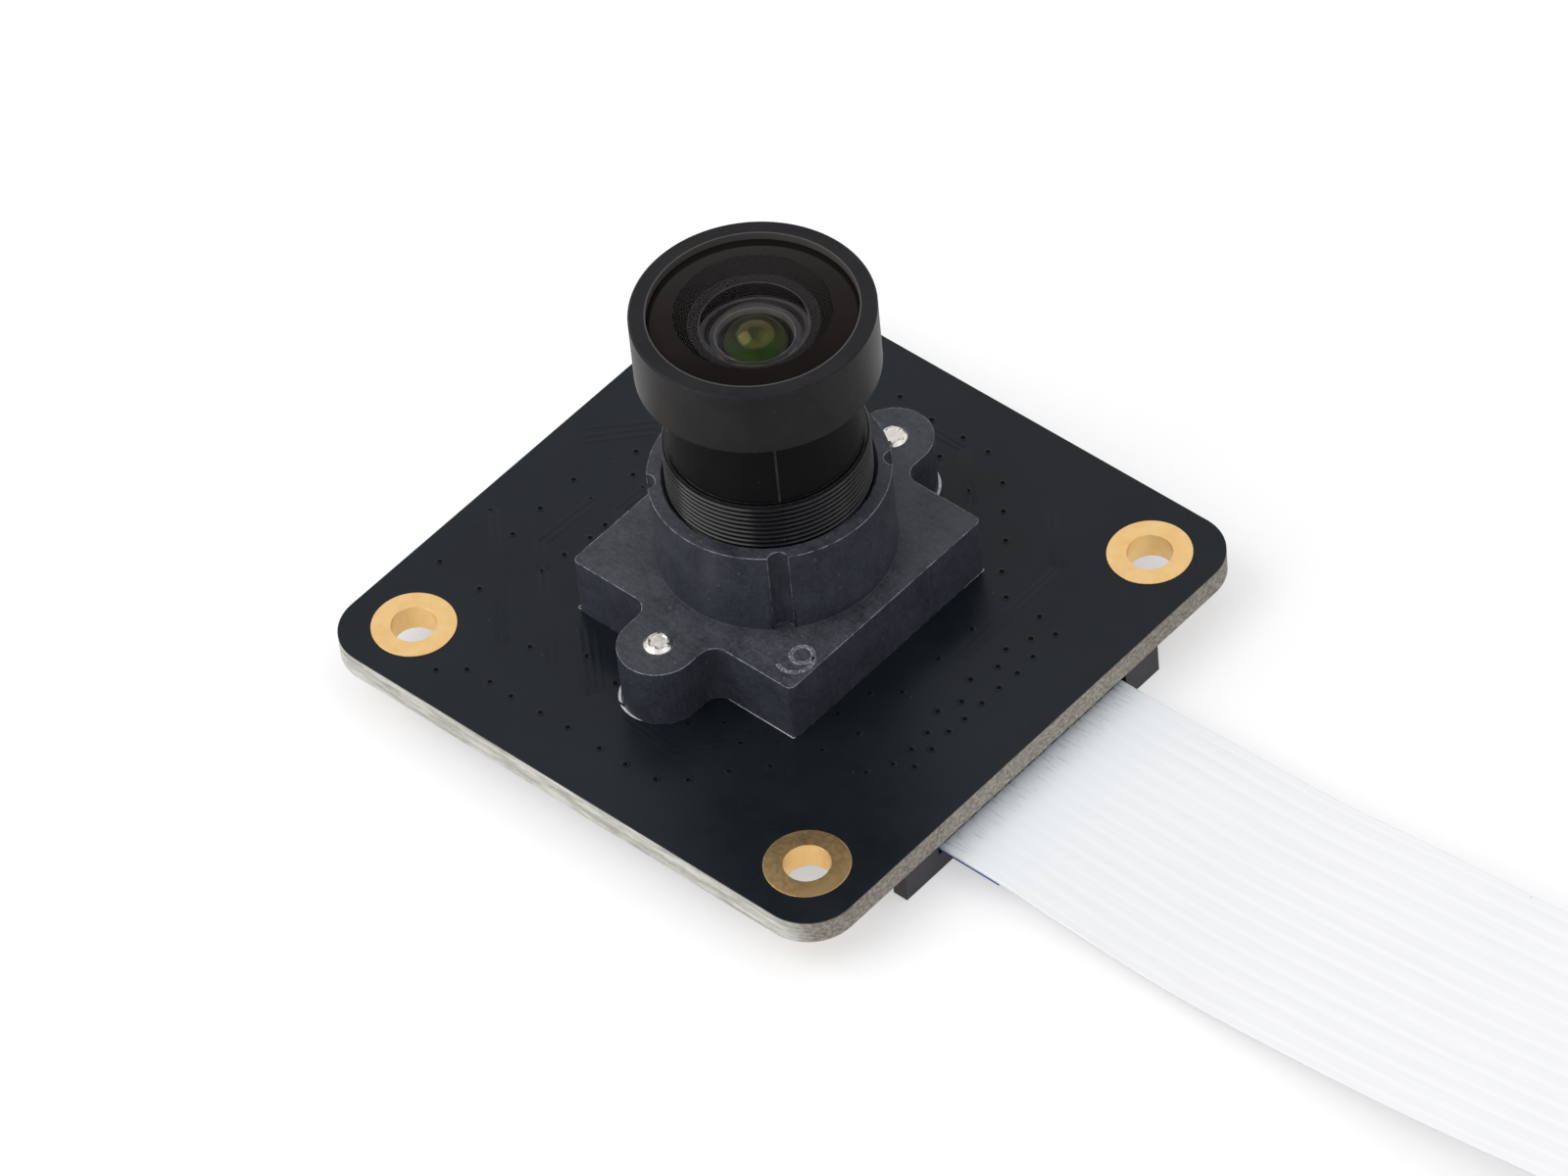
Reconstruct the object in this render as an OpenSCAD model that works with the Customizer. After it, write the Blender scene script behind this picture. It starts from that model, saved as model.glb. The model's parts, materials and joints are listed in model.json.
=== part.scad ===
// Camera module: a square circuit board with a screw-in lens in a moulded holder,
// an image sensor below it, and a flat ribbon cable in a connector under one edge.
//
// Frame: millimetres. The origin is the centre of the four mounting holes, on the
// underside of the board. +Z is the optical axis, towards the lens. +X is the side
// where the ribbon cable leaves.

/* [Board] */
// Side of the square board
board_w = 38; // [36:0.5:44]
// Thickness of the board
board_t = 1.6; // [1.2:0.1:2]
// Radius of the board's corners
board_corner_r = 3; // [1:0.5:3.5]
// Distance between neighbouring mounting holes
hole_spacing = 30; // [29:0.5:31]
// Radius of a finished mounting hole
hole_r = 1.35; // [1.1:0.05:1.6]
// Radius of the gold ring round a mounting hole
pad_r = 2.5; // [2.1:0.1:2.8]
// Thickness of the copper and gold on a ring and in a hole
plating_t = 0.05; // [0.03:0.01:0.08]

/* [Lens holder] */
// Side of the holder's square foot
holder_w = 16.6; // [16:0.1:17.4]
// Height of the square foot
foot_h = 4.1; // [3.8:0.1:5]
// Outer radius of the round collar
collar_r = 7; // [6.8:0.1:7.6]
// Height of the collar above the foot
collar_h = 5.8; // [4.5:0.1:7]
// Radius of the threaded bore, M12
bore_r = 6; // [5.8:0.05:6.1]
// Chamfer at the mouth of the bore
bore_chamfer = 0.2; // [0.1:0.05:0.4]
// Side of the square chamber over the sensor
chamber_w = 13.6; // [12.8:0.1:14.4]
// Height of that chamber
chamber_h = 3.3; // [2.9:0.1:3.5]
// Radius of a screw ear's round end
ear_r = 2.4; // [2:0.1:2.8]
// Distance between the two ear screws
ear_spacing = 20.4; // [20:0.1:22]
// Radius of the fillet where an ear meets the foot
ear_fillet = 1; // [0.5:0.1:1.4]
// Radius of the upright grip grooves in the collar
groove_r = 0.6; // [0.4:0.05:0.8]
// Depth of those grooves
groove_depth = 0.5; // [0.3:0.05:0.55]

/* [Holder screws] */
// Radius of a screw's shank
screw_r = 0.85; // [0.7:0.05:1]
// Radius of a screw's head
screw_head_r = 1.75; // [1.5:0.05:2]
// Height of a screw's head
screw_head_h = 1.2; // [0.9:0.1:1.4]
// How far a screw's tip stands out of the ear
screw_tip_out = 0.25; // [0.1:0.05:0.5]

/* [Lens barrel] */
// Outer radius of the lens head
head_r = 7; // [6.8:0.1:7.6]
// Height of the lens head
head_h = 4.5; // [3.8:0.1:6]
// Radius of the plain neck below the head
neck_r = 5.55; // [5.3:0.05:5.6]
// Length of the plain neck
neck_len = 5.4; // [4:0.1:7]
// Length of thread that shows above the collar
thread_out = 3; // [2:0.1:4]
// Length of thread inside the collar
thread_in = 6.3; // [5.6:0.1:6.4]
// Pitch of the fine lens thread
thread_pitch = 0.35; // [0.25:0.05:0.5]
// Depth of the lens thread
thread_depth = 0.18; // [0.1:0.01:0.25]
// Width of the flat rim round the front glass
rim_w = 1; // [0.8:0.1:1.4]
// Depth of the front glass's edge below the rim
glass_recess = 0.45; // [0.3:0.05:0.8]
// Chamfer on the head's edges
head_chamfer = 0.2; // [0.1:0.05:0.4]

/* [Optics] */
// Thickness of the front glass at its edge
front_edge_t = 1.1; // [0.9:0.1:1.6]
// Height of the front glass's dome
front_sag = 0.55; // [0.3:0.05:0.8]
// Radius of the hollow in the front glass's rear face
hollow_r = 3.1; // [2.8:0.1:3.4]
// Depth of that hollow
hollow_sag = 0.95; // [0.6:0.05:1]
// Radius of the bore that carries the inner elements
stack_r = 4.4; // [4.2:0.05:4.5]
// Radius of the second element's dome
second_dome_r = 1.9; // [1.8:0.05:2]
// Height of the second element's dome
second_sag = 1.75; // [1.4:0.05:1.75]
// Thickness of the spacer behind the front glass
front_spacer_t = 1.75; // [1.5:0.05:2.2]
// Thickness of the second element's disc
second_t = 1.8; // [1.4:0.1:2]
// Thickness of the spacer behind the second element
middle_spacer_t = 0.6; // [0.5:0.05:0.9]
// Thickness of the aperture plate
stop_t = 0.2; // [0.15:0.05:0.3]
// Radius of the aperture
stop_r = 1.1; // [0.8:0.1:1.5]
// Thickness of the third element's rim
third_t = 1.6; // [1.2:0.1:2]
// Thickness of the spacer behind the third element
rear_spacer_t = 1.6; // [1.4:0.1:2]
// Thickness of the rear element's rim
rear_t = 1.9; // [1.5:0.1:2.2]
// Thickness of the retaining ring
retainer_t = 1.2; // [1:0.1:1.6]
// Radius of the clear opening in the spacers and the retaining ring
clear_r = 3.3; // [3:0.1:3.4]
// Height of the bulges on the third and rear elements
inner_sag = 0.5; // [0.3:0.05:0.55]
// Radius of the infrared filter
filter_r = 4.75; // [4.6:0.05:4.85]
// Thickness of the infrared filter
filter_t = 0.3; // [0.2:0.05:0.5]

/* [Image sensor] */
// Side of the sensor package
sensor_w = 9.4; // [8.6:0.1:10.5]
// Height of the package's walls
sensor_h = 1.1; // [0.9:0.1:1.3]
// Width of the package's walls
sensor_wall = 0.9; // [0.7:0.05:1]
// Length of the silicon die
die_l = 6.2; // [5:0.1:6.4]
// Width of the silicon die
die_w = 4.9; // [4:0.1:5.5]
// Thickness of the silicon die
die_t = 0.3; // [0.2:0.05:0.4]
// Thickness of the package's glass lid
lid_t = 0.4; // [0.3:0.05:0.5]

/* [Ribbon connector] */
// Width of the connector with its latch
con_w = 22.2; // [21.4:0.1:23]
// Height of the connector below the board
con_h = 2.5; // [2.3:0.1:3]
// Depth of the housing from back to front
con_depth = 4.2; // [3.9:0.1:5]
// Distance from the board's edge back to the latch's front face
con_inset = 0.3; // [0.1:0.1:1]
// Thickness of the latch's front bar
latch_bar_t = 1; // [0.7:0.1:1.4]
// Thickness of the latch's side arms
latch_arm_t = 0.7; // [0.5:0.05:0.9]
// Number of contacts
contact_count = 15; // [15:1:15]
// Distance from one contact to the next
contact_pitch = 1; // [1:0.01:1.02]
// Width of one contact
contact_w = 0.3; // [0.2:0.05:0.4]

/* [Ribbon cable] */
// Width of the cable
ribbon_w = 16; // [15.6:0.1:16.2]
// Thickness of the cable
ribbon_t = 0.2; // [0.12:0.02:0.24]
// Thickness of the stiffening strip under each end
stiffener_t = 0.1; // [0.08:0.02:0.12]
// Length of the stiffening strip
stiffener_len = 8.4; // [6:0.2:9]
// Length of the cable's straight far end, which lies on the table
tail_len = 14; // [12:1:60]
// Length of the bare contact strips at each end
strip_len = 4.6; // [3.5:0.1:5]
// Width of one contact strip
strip_w = 0.6; // [0.4:0.05:0.7]
// Thickness of one contact strip
strip_t = 0.04; // [0.03:0.01:0.06]

/* [Parts under the board] */
// Length of a regulator's body
regulator_l = 2.9; // [2.8:0.1:3.1]
// Width of a regulator's body
regulator_w = 1.6; // [1.5:0.1:1.8]
// Height of a regulator
regulator_h = 1.2; // [1:0.05:1.45]
// Length of the oscillator can
oscillator_l = 3.2; // [2.5:0.1:5]
// Width of the oscillator can
oscillator_w = 2.5; // [2:0.1:3.2]
// Height of the oscillator can
oscillator_h = 0.9; // [0.7:0.05:1.2]
// Length of a small chip part
chip_l = 1; // [1:0.1:1.6]
// Width of a small chip part
chip_w = 0.5; // [0.4:0.05:0.8]
// Height of a capacitor
capacitor_h = 0.5; // [0.4:0.05:0.8]
// Height of a resistor
resistor_h = 0.35; // [0.3:0.05:0.5]

/* [Fits] */
// Radial gap between the lens thread and the holder's bore
lens_gap = 0.05; // [0.02:0.01:0.1]
// Radial gap between an optical piece and its bore
glass_gap = 0.04; // [0.02:0.01:0.08]
// Gap between the latch and what it slides in
latch_gap = 0.1; // [0.06:0.01:0.15]
// Gap round a screw's shank in the moulded ear
screw_gap = 0.02; // [0.01:0.01:0.05]
// Gap round a screw's shank in the board
screw_board_gap = 0.15; // [0.1:0.05:0.3]

/* [Hidden] */
$fn = 64;
smooth_fn = 180;
eps = 0.01;

// Heights, from the board upwards
foot_top = board_t + foot_h;
collar_top = foot_top + collar_h;
chamber_top = board_t + chamber_h;
thread_r = bore_r - lens_gap;
thread_top = collar_top + thread_out;
head_bottom = thread_top + neck_len;
head_top = head_bottom + head_h;
barrel_bottom = collar_top - thread_in;

// The optical pieces, from the front glass down to the filter
pocket_r = head_r - rim_w;
front_r = pocket_r - glass_gap;
front_edge_z = head_top - glass_recess;
seat_z = front_edge_z - front_edge_t;
element_r = stack_r - glass_gap;
second_top = seat_z - front_spacer_t;
second_bottom = second_top - second_t;
stop_top = second_bottom - middle_spacer_t;
third_top = stop_top - stop_t;
third_bottom = third_top - third_t;
rear_top = third_bottom - rear_spacer_t;
rear_bottom = rear_top - rear_t;
retainer_bottom = rear_bottom - retainer_t;
bulge_r = clear_r - 0.15;
funnel_r = second_dome_r + 0.5;
filter_seat_z = barrel_bottom + filter_t + 0.5;

// The thread's ridges run from just inside the collar up to the neck
thread_turns = floor((thread_out + 2 * thread_pitch) / thread_pitch);
ridge_bottom = thread_top - thread_turns * thread_pitch;

// The connector, from the latch's front face backwards
latch_front = board_w / 2 - con_inset;
bar_back = latch_front - latch_bar_t;
housing_front = bar_back - latch_gap;
housing_back = housing_front - con_depth;
housing_w = con_w - 2 * latch_arm_t - 2 * latch_gap;
slot_w = ribbon_w + 0.5;
slot_end = housing_back + 0.9;
arm_back = housing_back + 1.3;
ribbon_mid_z = -0.88;
strip_top_z = ribbon_mid_z + ribbon_t / 2 + strip_t;
ribbon_under_z = ribbon_mid_z - ribbon_t / 2 - stiffener_t;
tongue_top_z = ribbon_under_z - 0.08;
tongue_t = 0.32;
slot_floor_z = tongue_top_z - tongue_t - 0.07;
slot_roof_z = -0.42;

// The ribbon's route: [x, z, roll in degrees]. It leaves the connector flat, dips
// a little, rolls by a few degrees, arches and then lies on the table. The list of
// bends gives x as a distance out from the end of the straight, stiffened part.
ribbon_start = slot_end + 0.2;
straight_end = ribbon_start + stiffener_len + 0.3;
floor_z = -con_h;
far_mid_z = floor_z + stiffener_t + ribbon_t / 2;
tail_start = 126.8;
ribbon_bends = [
    [2.8, -0.92, 1.5],
    [5.8, -0.96, 2.6],
    [8.8, -0.98, 3.6],
    [11.8, -0.9, 4.4],
    [14.8, -0.68, 5.2],
    [17.8, -0.36, 5.8],
    [21.8, 0.06, 6],
    [26.8, 0.6, 5.6],
    [32.8, 1.5, 5.2],
    [38.8, 2.5, 4.8],
    [46.8, 3.6, 4],
    [54.8, 4.2, 3.2],
    [62.8, 4.3, 2.4],
    [70.8, 3.8, 1.6],
    [78.8, 2.8, 1],
    [86.8, 1.5, 0.5],
    [94.8, 0.1, 0.2],
    [102.8, -1.1, 0],
    [110.8, -1.9, 0],
    [118.8, -2.2, 0],
    [tail_start, far_mid_z, 0],
    [tail_start + tail_len, far_mid_z, 0]
];
ribbon_route = concat(
    [[ribbon_start, ribbon_mid_z, 0], [straight_end, ribbon_mid_z, 0]],
    [for (p = ribbon_bends) [straight_end + p[0], p[1], p[2]]]
);
ribbon_end = ribbon_route[len(ribbon_route) - 1][0];

// Places of the parts under the board, from its edges, its sensor and its connector
regulator_inset = 5.5;
regulator_step = 6;
supply_cap_gap = 3.4;
oscillator_inset = 6;
oscillator_step = 5;
sensor_cap_gap = 1.3;
sensor_cap_step = 2.4;
resistor_gap = 3.8;
resistor_step = 2;
regulator_x = -board_w / 2 + regulator_inset;
regulator_y = [-regulator_step, 0, regulator_step];
oscillator_at = [regulator_x + oscillator_step, -board_w / 2 + oscillator_inset];
sensor_cap_x = sensor_w / 2 + sensor_cap_gap;
sensor_caps = [for (side = [-1, 1], i = [-2:2]) [side * sensor_cap_x, i * sensor_cap_step]];
supply_caps = [for (y = regulator_y, side = [-1, 1]) [regulator_x + supply_cap_gap, y + side * 1.1]];
capacitor_at = concat(sensor_caps, supply_caps);
resistor_at = [for (i = [-3:3]) [housing_back - resistor_gap, i * resistor_step]];
terminal_l = 0.22;

// Shapes that several pieces share

module at_corners(spacing) {
    for (sx = [-1, 1], sy = [-1, 1])
        translate([sx * spacing / 2, sy * spacing / 2, 0])
            children();
}

module rounded_square(w, r) {
    square([w, w - 2 * r], center = true);
    square([w - 2 * r, w], center = true);
    for (sx = [-1, 1], sy = [-1, 1])
        translate([sx * (w / 2 - r), sy * (w / 2 - r)])
            circle(r);
}

module at_ears() {
    for (side = [-1, 1])
        translate([0, side * ear_spacing / 2, 0])
            children();
}

// A spherical bulge that stands on a flat face: base radius r, height sag
module bulge(r, sag) {
    ball_r = (r * r + sag * sag) / (2 * sag);
    intersection() {
        cylinder(r = r, h = sag + eps);
        translate([0, 0, sag - ball_r])
            sphere(ball_r, $fn = smooth_fn);
    }
}

module ring(outer_r, inner_r, h) {
    difference() {
        cylinder(r = outer_r, h = h);
        translate([0, 0, -eps])
            cylinder(r = inner_r, h = h + 2 * eps);
    }
}

// Circuit board

module circuit_board() {
    color([0.14, 0.16, 0.18])
    difference() {
        linear_extrude(board_t)
            rounded_square(board_w, board_corner_r);
        translate([0, 0, -eps]) {
            at_corners(hole_spacing)
                cylinder(r = hole_r + plating_t, h = board_t + 2 * eps);
            at_ears()
                cylinder(r = screw_r + screw_board_gap, h = board_t + 2 * eps);
        }
    }
}

module hole_plating() {
    color([0.9, 0.74, 0.4])
    at_corners(hole_spacing)
        difference() {
            union() {
                cylinder(r = hole_r + plating_t, h = board_t);
                translate([0, 0, board_t])
                    cylinder(r = pad_r, h = plating_t);
                translate([0, 0, -plating_t])
                    cylinder(r = pad_r, h = plating_t);
            }
            translate([0, 0, -plating_t - eps])
                cylinder(r = hole_r, h = board_t + 2 * plating_t + 2 * eps);
        }
}

// Lens holder: one moulding with a square foot, two filleted screw ears, a threaded
// collar with grip grooves, and a chamber over the sensor

module ear_outline() {
    ear_y = ear_spacing / 2;
    foot_y = holder_w / 2;
    translate([0, ear_y])
        circle(ear_r);
    translate([-ear_r, 0])
        square([2 * ear_r, ear_y]);
    for (side = [-1, 1])
        translate([side * ear_r, foot_y])
            difference() {
                translate([side > 0 ? 0 : -ear_fillet, -eps])
                    square([ear_fillet, ear_fillet + eps]);
                translate([side * ear_fillet, ear_fillet])
                    circle(ear_fillet);
            }
}

module holder_outline() {
    rounded_square(holder_w, 0.4);
    ear_outline();
    rotate(180)
        ear_outline();
}

module collar_grooves() {
    for (a = [45:90:315])
        rotate(a)
            translate([collar_r - groove_depth + groove_r, 0, foot_top])
                cylinder(r = groove_r, h = collar_h + eps);
}

module lens_holder() {
    color([0.27, 0.29, 0.33])
    difference() {
        union() {
            translate([0, 0, board_t])
                linear_extrude(foot_h)
                    holder_outline();
            translate([0, 0, foot_top - eps])
                cylinder(r = collar_r, h = collar_h + eps);
        }
        translate([0, 0, board_t - eps])
            linear_extrude(chamber_h + eps)
                rounded_square(chamber_w, 0.8);
        cylinder(r = bore_r, h = collar_top + eps);
        translate([0, 0, collar_top - bore_chamfer])
            cylinder(r1 = bore_r, r2 = bore_r + bore_chamfer + eps, h = bore_chamfer + eps);
        collar_grooves();
        at_ears()
            cylinder(r = screw_r + screw_gap, h = foot_top + eps);
    }
}

module holder_screws() {
    tip_z = foot_top + screw_tip_out;
    point_h = 0.2;
    cross_w = 0.35;
    color([0.8, 0.8, 0.78])
    at_ears()
        difference() {
            rotate_extrude()
                polygon([
                    [0, -screw_head_h],
                    [screw_head_r - 0.35, -screw_head_h],
                    [screw_head_r, -screw_head_h + 0.4],
                    [screw_head_r, 0],
                    [screw_r, 0],
                    [screw_r, tip_z - point_h],
                    [screw_r - point_h, tip_z],
                    [0, tip_z]
                ]);
            for (a = [0, 90])
                rotate(a)
                    translate([0, 0, -screw_head_h])
                        cube([screw_head_r * 1.1, cross_w, 1.1], center = true);
        }
}

// Lens: the barrel turns in the holder's thread, the glass rides in it

module lens_barrel() {
    root_r = thread_r - thread_depth;
    ridges = [for (i = [0:thread_turns - 1], k = [0:2])
        let (z = ridge_bottom + i * thread_pitch)
        k == 0 ? [thread_r, z]
        : k == 1 ? [thread_r, z + 0.3 * thread_pitch]
        : [root_r, z + 0.65 * thread_pitch]];
    color([0.2, 0.2, 0.2])
    rotate_extrude()
        polygon(concat(
            [
                [stack_r, filter_seat_z],
                [filter_r + glass_gap, filter_seat_z],
                [filter_r + glass_gap, barrel_bottom],
                [thread_r, barrel_bottom]
            ],
            ridges,
            [
                [root_r, thread_top],
                [neck_r, thread_top],
                [neck_r, head_bottom],
                [head_r - head_chamfer, head_bottom],
                [head_r, head_bottom + head_chamfer],
                [head_r, head_top - head_chamfer / 2],
                [head_r - head_chamfer / 2, head_top],
                [pocket_r, head_top],
                [pocket_r, seat_z],
                [stack_r, seat_z]
            ]
        ));
}

// The front glass is a meniscus: domed in front, hollow behind
module front_lens() {
    hollow_ball_r = (hollow_r * hollow_r + hollow_sag * hollow_sag) / (2 * hollow_sag);
    dome_ball_r = (front_r * front_r + front_sag * front_sag) / (2 * front_sag);
    color([0.35, 0.3, 0.28, 0.6])
    translate([0, 0, seat_z])
        difference() {
            intersection() {
                cylinder(r = front_r, h = front_edge_t + front_sag + eps);
                translate([0, 0, front_edge_t + front_sag - dome_ball_r])
                    sphere(dome_ball_r, $fn = smooth_fn);
            }
            translate([0, 0, hollow_sag - hollow_ball_r])
                sphere(hollow_ball_r, $fn = smooth_fn);
        }
}

// A spacer whose opening narrows, with a small ledge round the second element's dome
module front_spacer() {
    color([0.16, 0.16, 0.16])
    rotate_extrude()
        polygon([
            [funnel_r, second_top],
            [element_r, second_top],
            [element_r, seat_z],
            [hollow_r + 0.6, seat_z],
            [funnel_r + 0.45, seat_z - 0.35],
            [funnel_r + 0.38, seat_z - 0.55],
            [funnel_r, seat_z - 0.65]
        ]);
}

module second_lens() {
    color([0.45, 0.5, 0.25, 0.7])
    translate([0, 0, second_bottom]) {
        cylinder(r = element_r, h = second_t);
        translate([0, 0, second_t])
            bulge(second_dome_r, second_sag);
    }
}

module middle_spacer() {
    color([0.16, 0.16, 0.16])
    translate([0, 0, stop_top])
        ring(element_r, clear_r, middle_spacer_t);
}

module aperture_stop() {
    color([0.08, 0.08, 0.08])
    translate([0, 0, third_top])
        ring(element_r, stop_r, stop_t);
}

module third_lens() {
    color([0.75, 0.85, 0.85, 0.5])
    translate([0, 0, third_bottom]) {
        cylinder(r = element_r, h = third_t);
        mirror([0, 0, 1])
            bulge(bulge_r, inner_sag);
    }
}

module rear_spacer() {
    color([0.16, 0.16, 0.16])
    translate([0, 0, rear_top])
        ring(element_r, clear_r, rear_spacer_t);
}

module rear_lens() {
    color([0.75, 0.85, 0.85, 0.5])
    translate([0, 0, rear_bottom]) {
        cylinder(r = element_r, h = rear_t);
        translate([0, 0, rear_t])
            bulge(bulge_r, inner_sag);
        mirror([0, 0, 1])
            bulge(bulge_r, inner_sag);
    }
}

module lens_retainer() {
    key_w = 0.8;
    color([0.16, 0.16, 0.16])
    translate([0, 0, retainer_bottom])
        difference() {
            ring(element_r, clear_r, retainer_t);
            translate([0, 0, 0.25 - eps])
                cube([2 * stack_r + 1, key_w, 0.5], center = true);
        }
}

module ir_cut_filter() {
    color([0.6, 0.75, 0.8, 0.4])
    translate([0, 0, filter_seat_z - filter_t])
        cylinder(r = filter_r, h = filter_t);
}

// Image sensor, soldered to the board in the holder's chamber

module sensor_package() {
    base_t = sensor_h - die_t - 0.35;
    inner_w = sensor_w - 2 * sensor_wall;
    color([0.42, 0.36, 0.3])
    translate([0, 0, board_t])
        difference() {
            linear_extrude(sensor_h)
                square(sensor_w, center = true);
            translate([0, 0, base_t])
                linear_extrude(sensor_h)
                    square(inner_w, center = true);
        }
}

module sensor_die() {
    color([0.3, 0.32, 0.4])
    translate([0, 0, board_t + sensor_h - die_t - 0.35])
        linear_extrude(die_t)
            square([die_l, die_w], center = true);
}

module sensor_glass() {
    color([0.8, 0.9, 0.9, 0.4])
    translate([0, 0, board_t + sensor_h])
        linear_extrude(lid_t)
            square(sensor_w - sensor_wall, center = true);
}

// Ribbon connector under the board's edge

module at_contacts() {
    for (i = [0:contact_count - 1])
        translate([0, (i - (contact_count - 1) / 2) * contact_pitch, 0])
            children();
}

module ribbon_connector() {
    channel_w = contact_w + 0.1;
    color([0.25, 0.23, 0.25])
    difference() {
        translate([housing_back, -housing_w / 2, -con_h])
            cube([con_depth, housing_w, con_h]);
        translate([slot_end, -slot_w / 2, slot_floor_z])
            cube([con_depth, slot_w, slot_roof_z - slot_floor_z]);
        at_contacts()
            translate([housing_back - eps, -channel_w / 2, strip_top_z])
                cube([con_depth + 2 * eps, channel_w, 1 - strip_top_z]);
    }
}

module connector_latch() {
    bar_bottom = -con_h + 0.05;
    bar_top = -latch_gap / 2;
    arm_bottom = bar_bottom + 0.5;
    arm_h = 1.4;
    color([0.29, 0.27, 0.29]) {
        difference() {
            translate([bar_back, -con_w / 2, bar_bottom])
                cube([latch_bar_t, con_w, bar_top - bar_bottom]);
            translate([bar_back - eps, -slot_w / 2, tongue_top_z])
                cube([latch_bar_t + 2 * eps, slot_w, slot_roof_z - tongue_top_z]);
        }
        for (side = [-1, 1])
            translate([arm_back, side * (con_w - latch_arm_t) / 2 - latch_arm_t / 2, arm_bottom])
                cube([bar_back - arm_back + eps, latch_arm_t, arm_h]);
        translate([slot_end + 0.9, -ribbon_w / 2, tongue_top_z - tongue_t])
            cube([bar_back - slot_end - 0.9 + eps, ribbon_w, tongue_t]);
    }
}

module connector_contacts() {
    foot_t = 0.15;
    beam_t = 0.2;
    tip_x = housing_front - 0.8;
    color([0.85, 0.75, 0.5])
    at_contacts()
        translate([0, contact_w / 2, 0])
            rotate([90, 0, 0])
                linear_extrude(contact_w)
                    polygon([
                        [housing_back - 1, 0],
                        [housing_back - 1, -foot_t],
                        [housing_back + 0.05, -foot_t],
                        [housing_back + 0.35, strip_top_z],
                        [tip_x, strip_top_z],
                        [tip_x + 0.2, strip_top_z + beam_t],
                        [housing_back + 0.5, strip_top_z + beam_t],
                        [housing_back + 0.2, 0]
                    ]);
}

module connector_anchors() {
    anchor_t = 0.2;
    anchor_l = 2.5;
    anchor_w = 0.8;
    color([0.8, 0.8, 0.78])
    for (side = [-1, 1])
        translate([
            housing_back + 0.5,
            side > 0 ? housing_w / 2 : -housing_w / 2 - anchor_w,
            -anchor_t
        ])
            cube([anchor_l, anchor_w, anchor_t]);
}

// Ribbon cable, swept as one flat strip with a narrow roll angle

function route_slope(i) =
    let (
        last = len(ribbon_route) - 1,
        a = ribbon_route[max(i - 1, 0)],
        b = ribbon_route[min(i + 1, last)]
    )
    i == 0 || i == last ? 0 : atan2(b[1] - a[1], b[0] - a[0]);

// A point of the strip: across runs along the width, up along the thickness
function strip_point(i, across, up) =
    let (
        p = ribbon_route[i],
        slope = route_slope(i),
        y = across * cos(p[2]) - up * sin(p[2]),
        n = across * sin(p[2]) + up * cos(p[2])
    )
    [p[0] - n * sin(slope), y, p[1] + n * cos(slope)];

module ribbon_cable() {
    half = ribbon_w / 2;
    flat = half - 0.3;
    up = ribbon_t / 2;
    edge = 0.4 * up;
    outline = [
        [-half, -edge], [-flat, -up], [flat, -up], [half, -edge],
        [half, edge], [flat, up], [-flat, up], [-half, edge]
    ];
    sides = len(outline);
    rings = len(ribbon_route);
    points = [for (i = [0:rings - 1], c = outline) strip_point(i, c[0], c[1])];
    walls = [for (i = [0:rings - 2], j = [0:sides - 1], half_face = [0, 1])
        let (
            a = i * sides + j,
            b = i * sides + (j + 1) % sides
        )
        half_face == 0 ? [a, a + sides, b] : [b, a + sides, b + sides]];
    first = [for (j = [0:sides - 1]) j];
    last = [for (j = [sides - 1:-1:0]) (rings - 1) * sides + j];
    color([0.94, 0.94, 0.95])
    polyhedron(points, concat(walls, [first, last]));
}

module at_ribbon_ends() {
    translate([ribbon_start, 0, ribbon_mid_z])
        children();
    translate([ribbon_end, 0, far_mid_z])
        mirror([1, 0, 0])
            children();
}

module ribbon_stiffeners() {
    color([0.2, 0.3, 0.55])
    at_ribbon_ends()
        translate([0, -ribbon_w / 2, -ribbon_t / 2 - stiffener_t])
            cube([stiffener_len, ribbon_w, stiffener_t]);
}

module ribbon_contact_strips() {
    color([0.8, 0.8, 0.78])
    at_ribbon_ends()
        at_contacts()
            translate([0, -strip_w / 2, ribbon_t / 2])
                cube([strip_len, strip_w, strip_t]);
}

// Parts under the board

module regulator() {
    lead_w = 0.4;
    lead_places = [[-0.95, 1], [0, 1], [0.95, 1], [-0.95, -1], [0.95, -1]];
    out = regulator_w / 2;
    translate([-regulator_w / 2, -regulator_l / 2, -regulator_h])
        cube([regulator_w, regulator_l, regulator_h - 0.1]);
    for (p = lead_places)
        mirror([p[1] > 0 ? 0 : 1, 0, 0])
            translate([0, p[0] + lead_w / 2, 0])
                rotate([90, 0, 0])
                    linear_extrude(lead_w)
                        polygon([
                            [out - eps, -regulator_h / 2],
                            [out + 0.35, -regulator_h / 2],
                            [out + 0.45, -0.15],
                            [out + 0.75, -0.15],
                            [out + 0.75, 0],
                            [out + 0.3, 0],
                            [out + 0.2, -regulator_h / 2 + 0.15],
                            [out - eps, -regulator_h / 2 + 0.15]
                        ]);
}

module voltage_regulators() {
    color([0.12, 0.12, 0.13])
    for (y = regulator_y)
        translate([regulator_x, y, 0])
            regulator();
}

module crystal_oscillator() {
    color([0.78, 0.76, 0.7])
    translate([oscillator_at[0], oscillator_at[1], -oscillator_h]) {
        linear_extrude(oscillator_h)
            square([oscillator_l, oscillator_w], center = true);
    }
}

// The middle of a chip part, between its two metal ends
module chip_body(h) {
    translate([0, 0, -h / 2])
        cube([chip_w, chip_l - 2 * terminal_l, h], center = true);
}

module chip_ends(h) {
    for (side = [-1, 1])
        translate([0, side * (chip_l - terminal_l) / 2, -h / 2])
            cube([chip_w, terminal_l, h], center = true);
}

module chip_capacitors() {
    color([0.62, 0.5, 0.38])
    for (p = capacitor_at)
        translate([p[0], p[1], 0])
            chip_body(capacitor_h);
}

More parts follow.
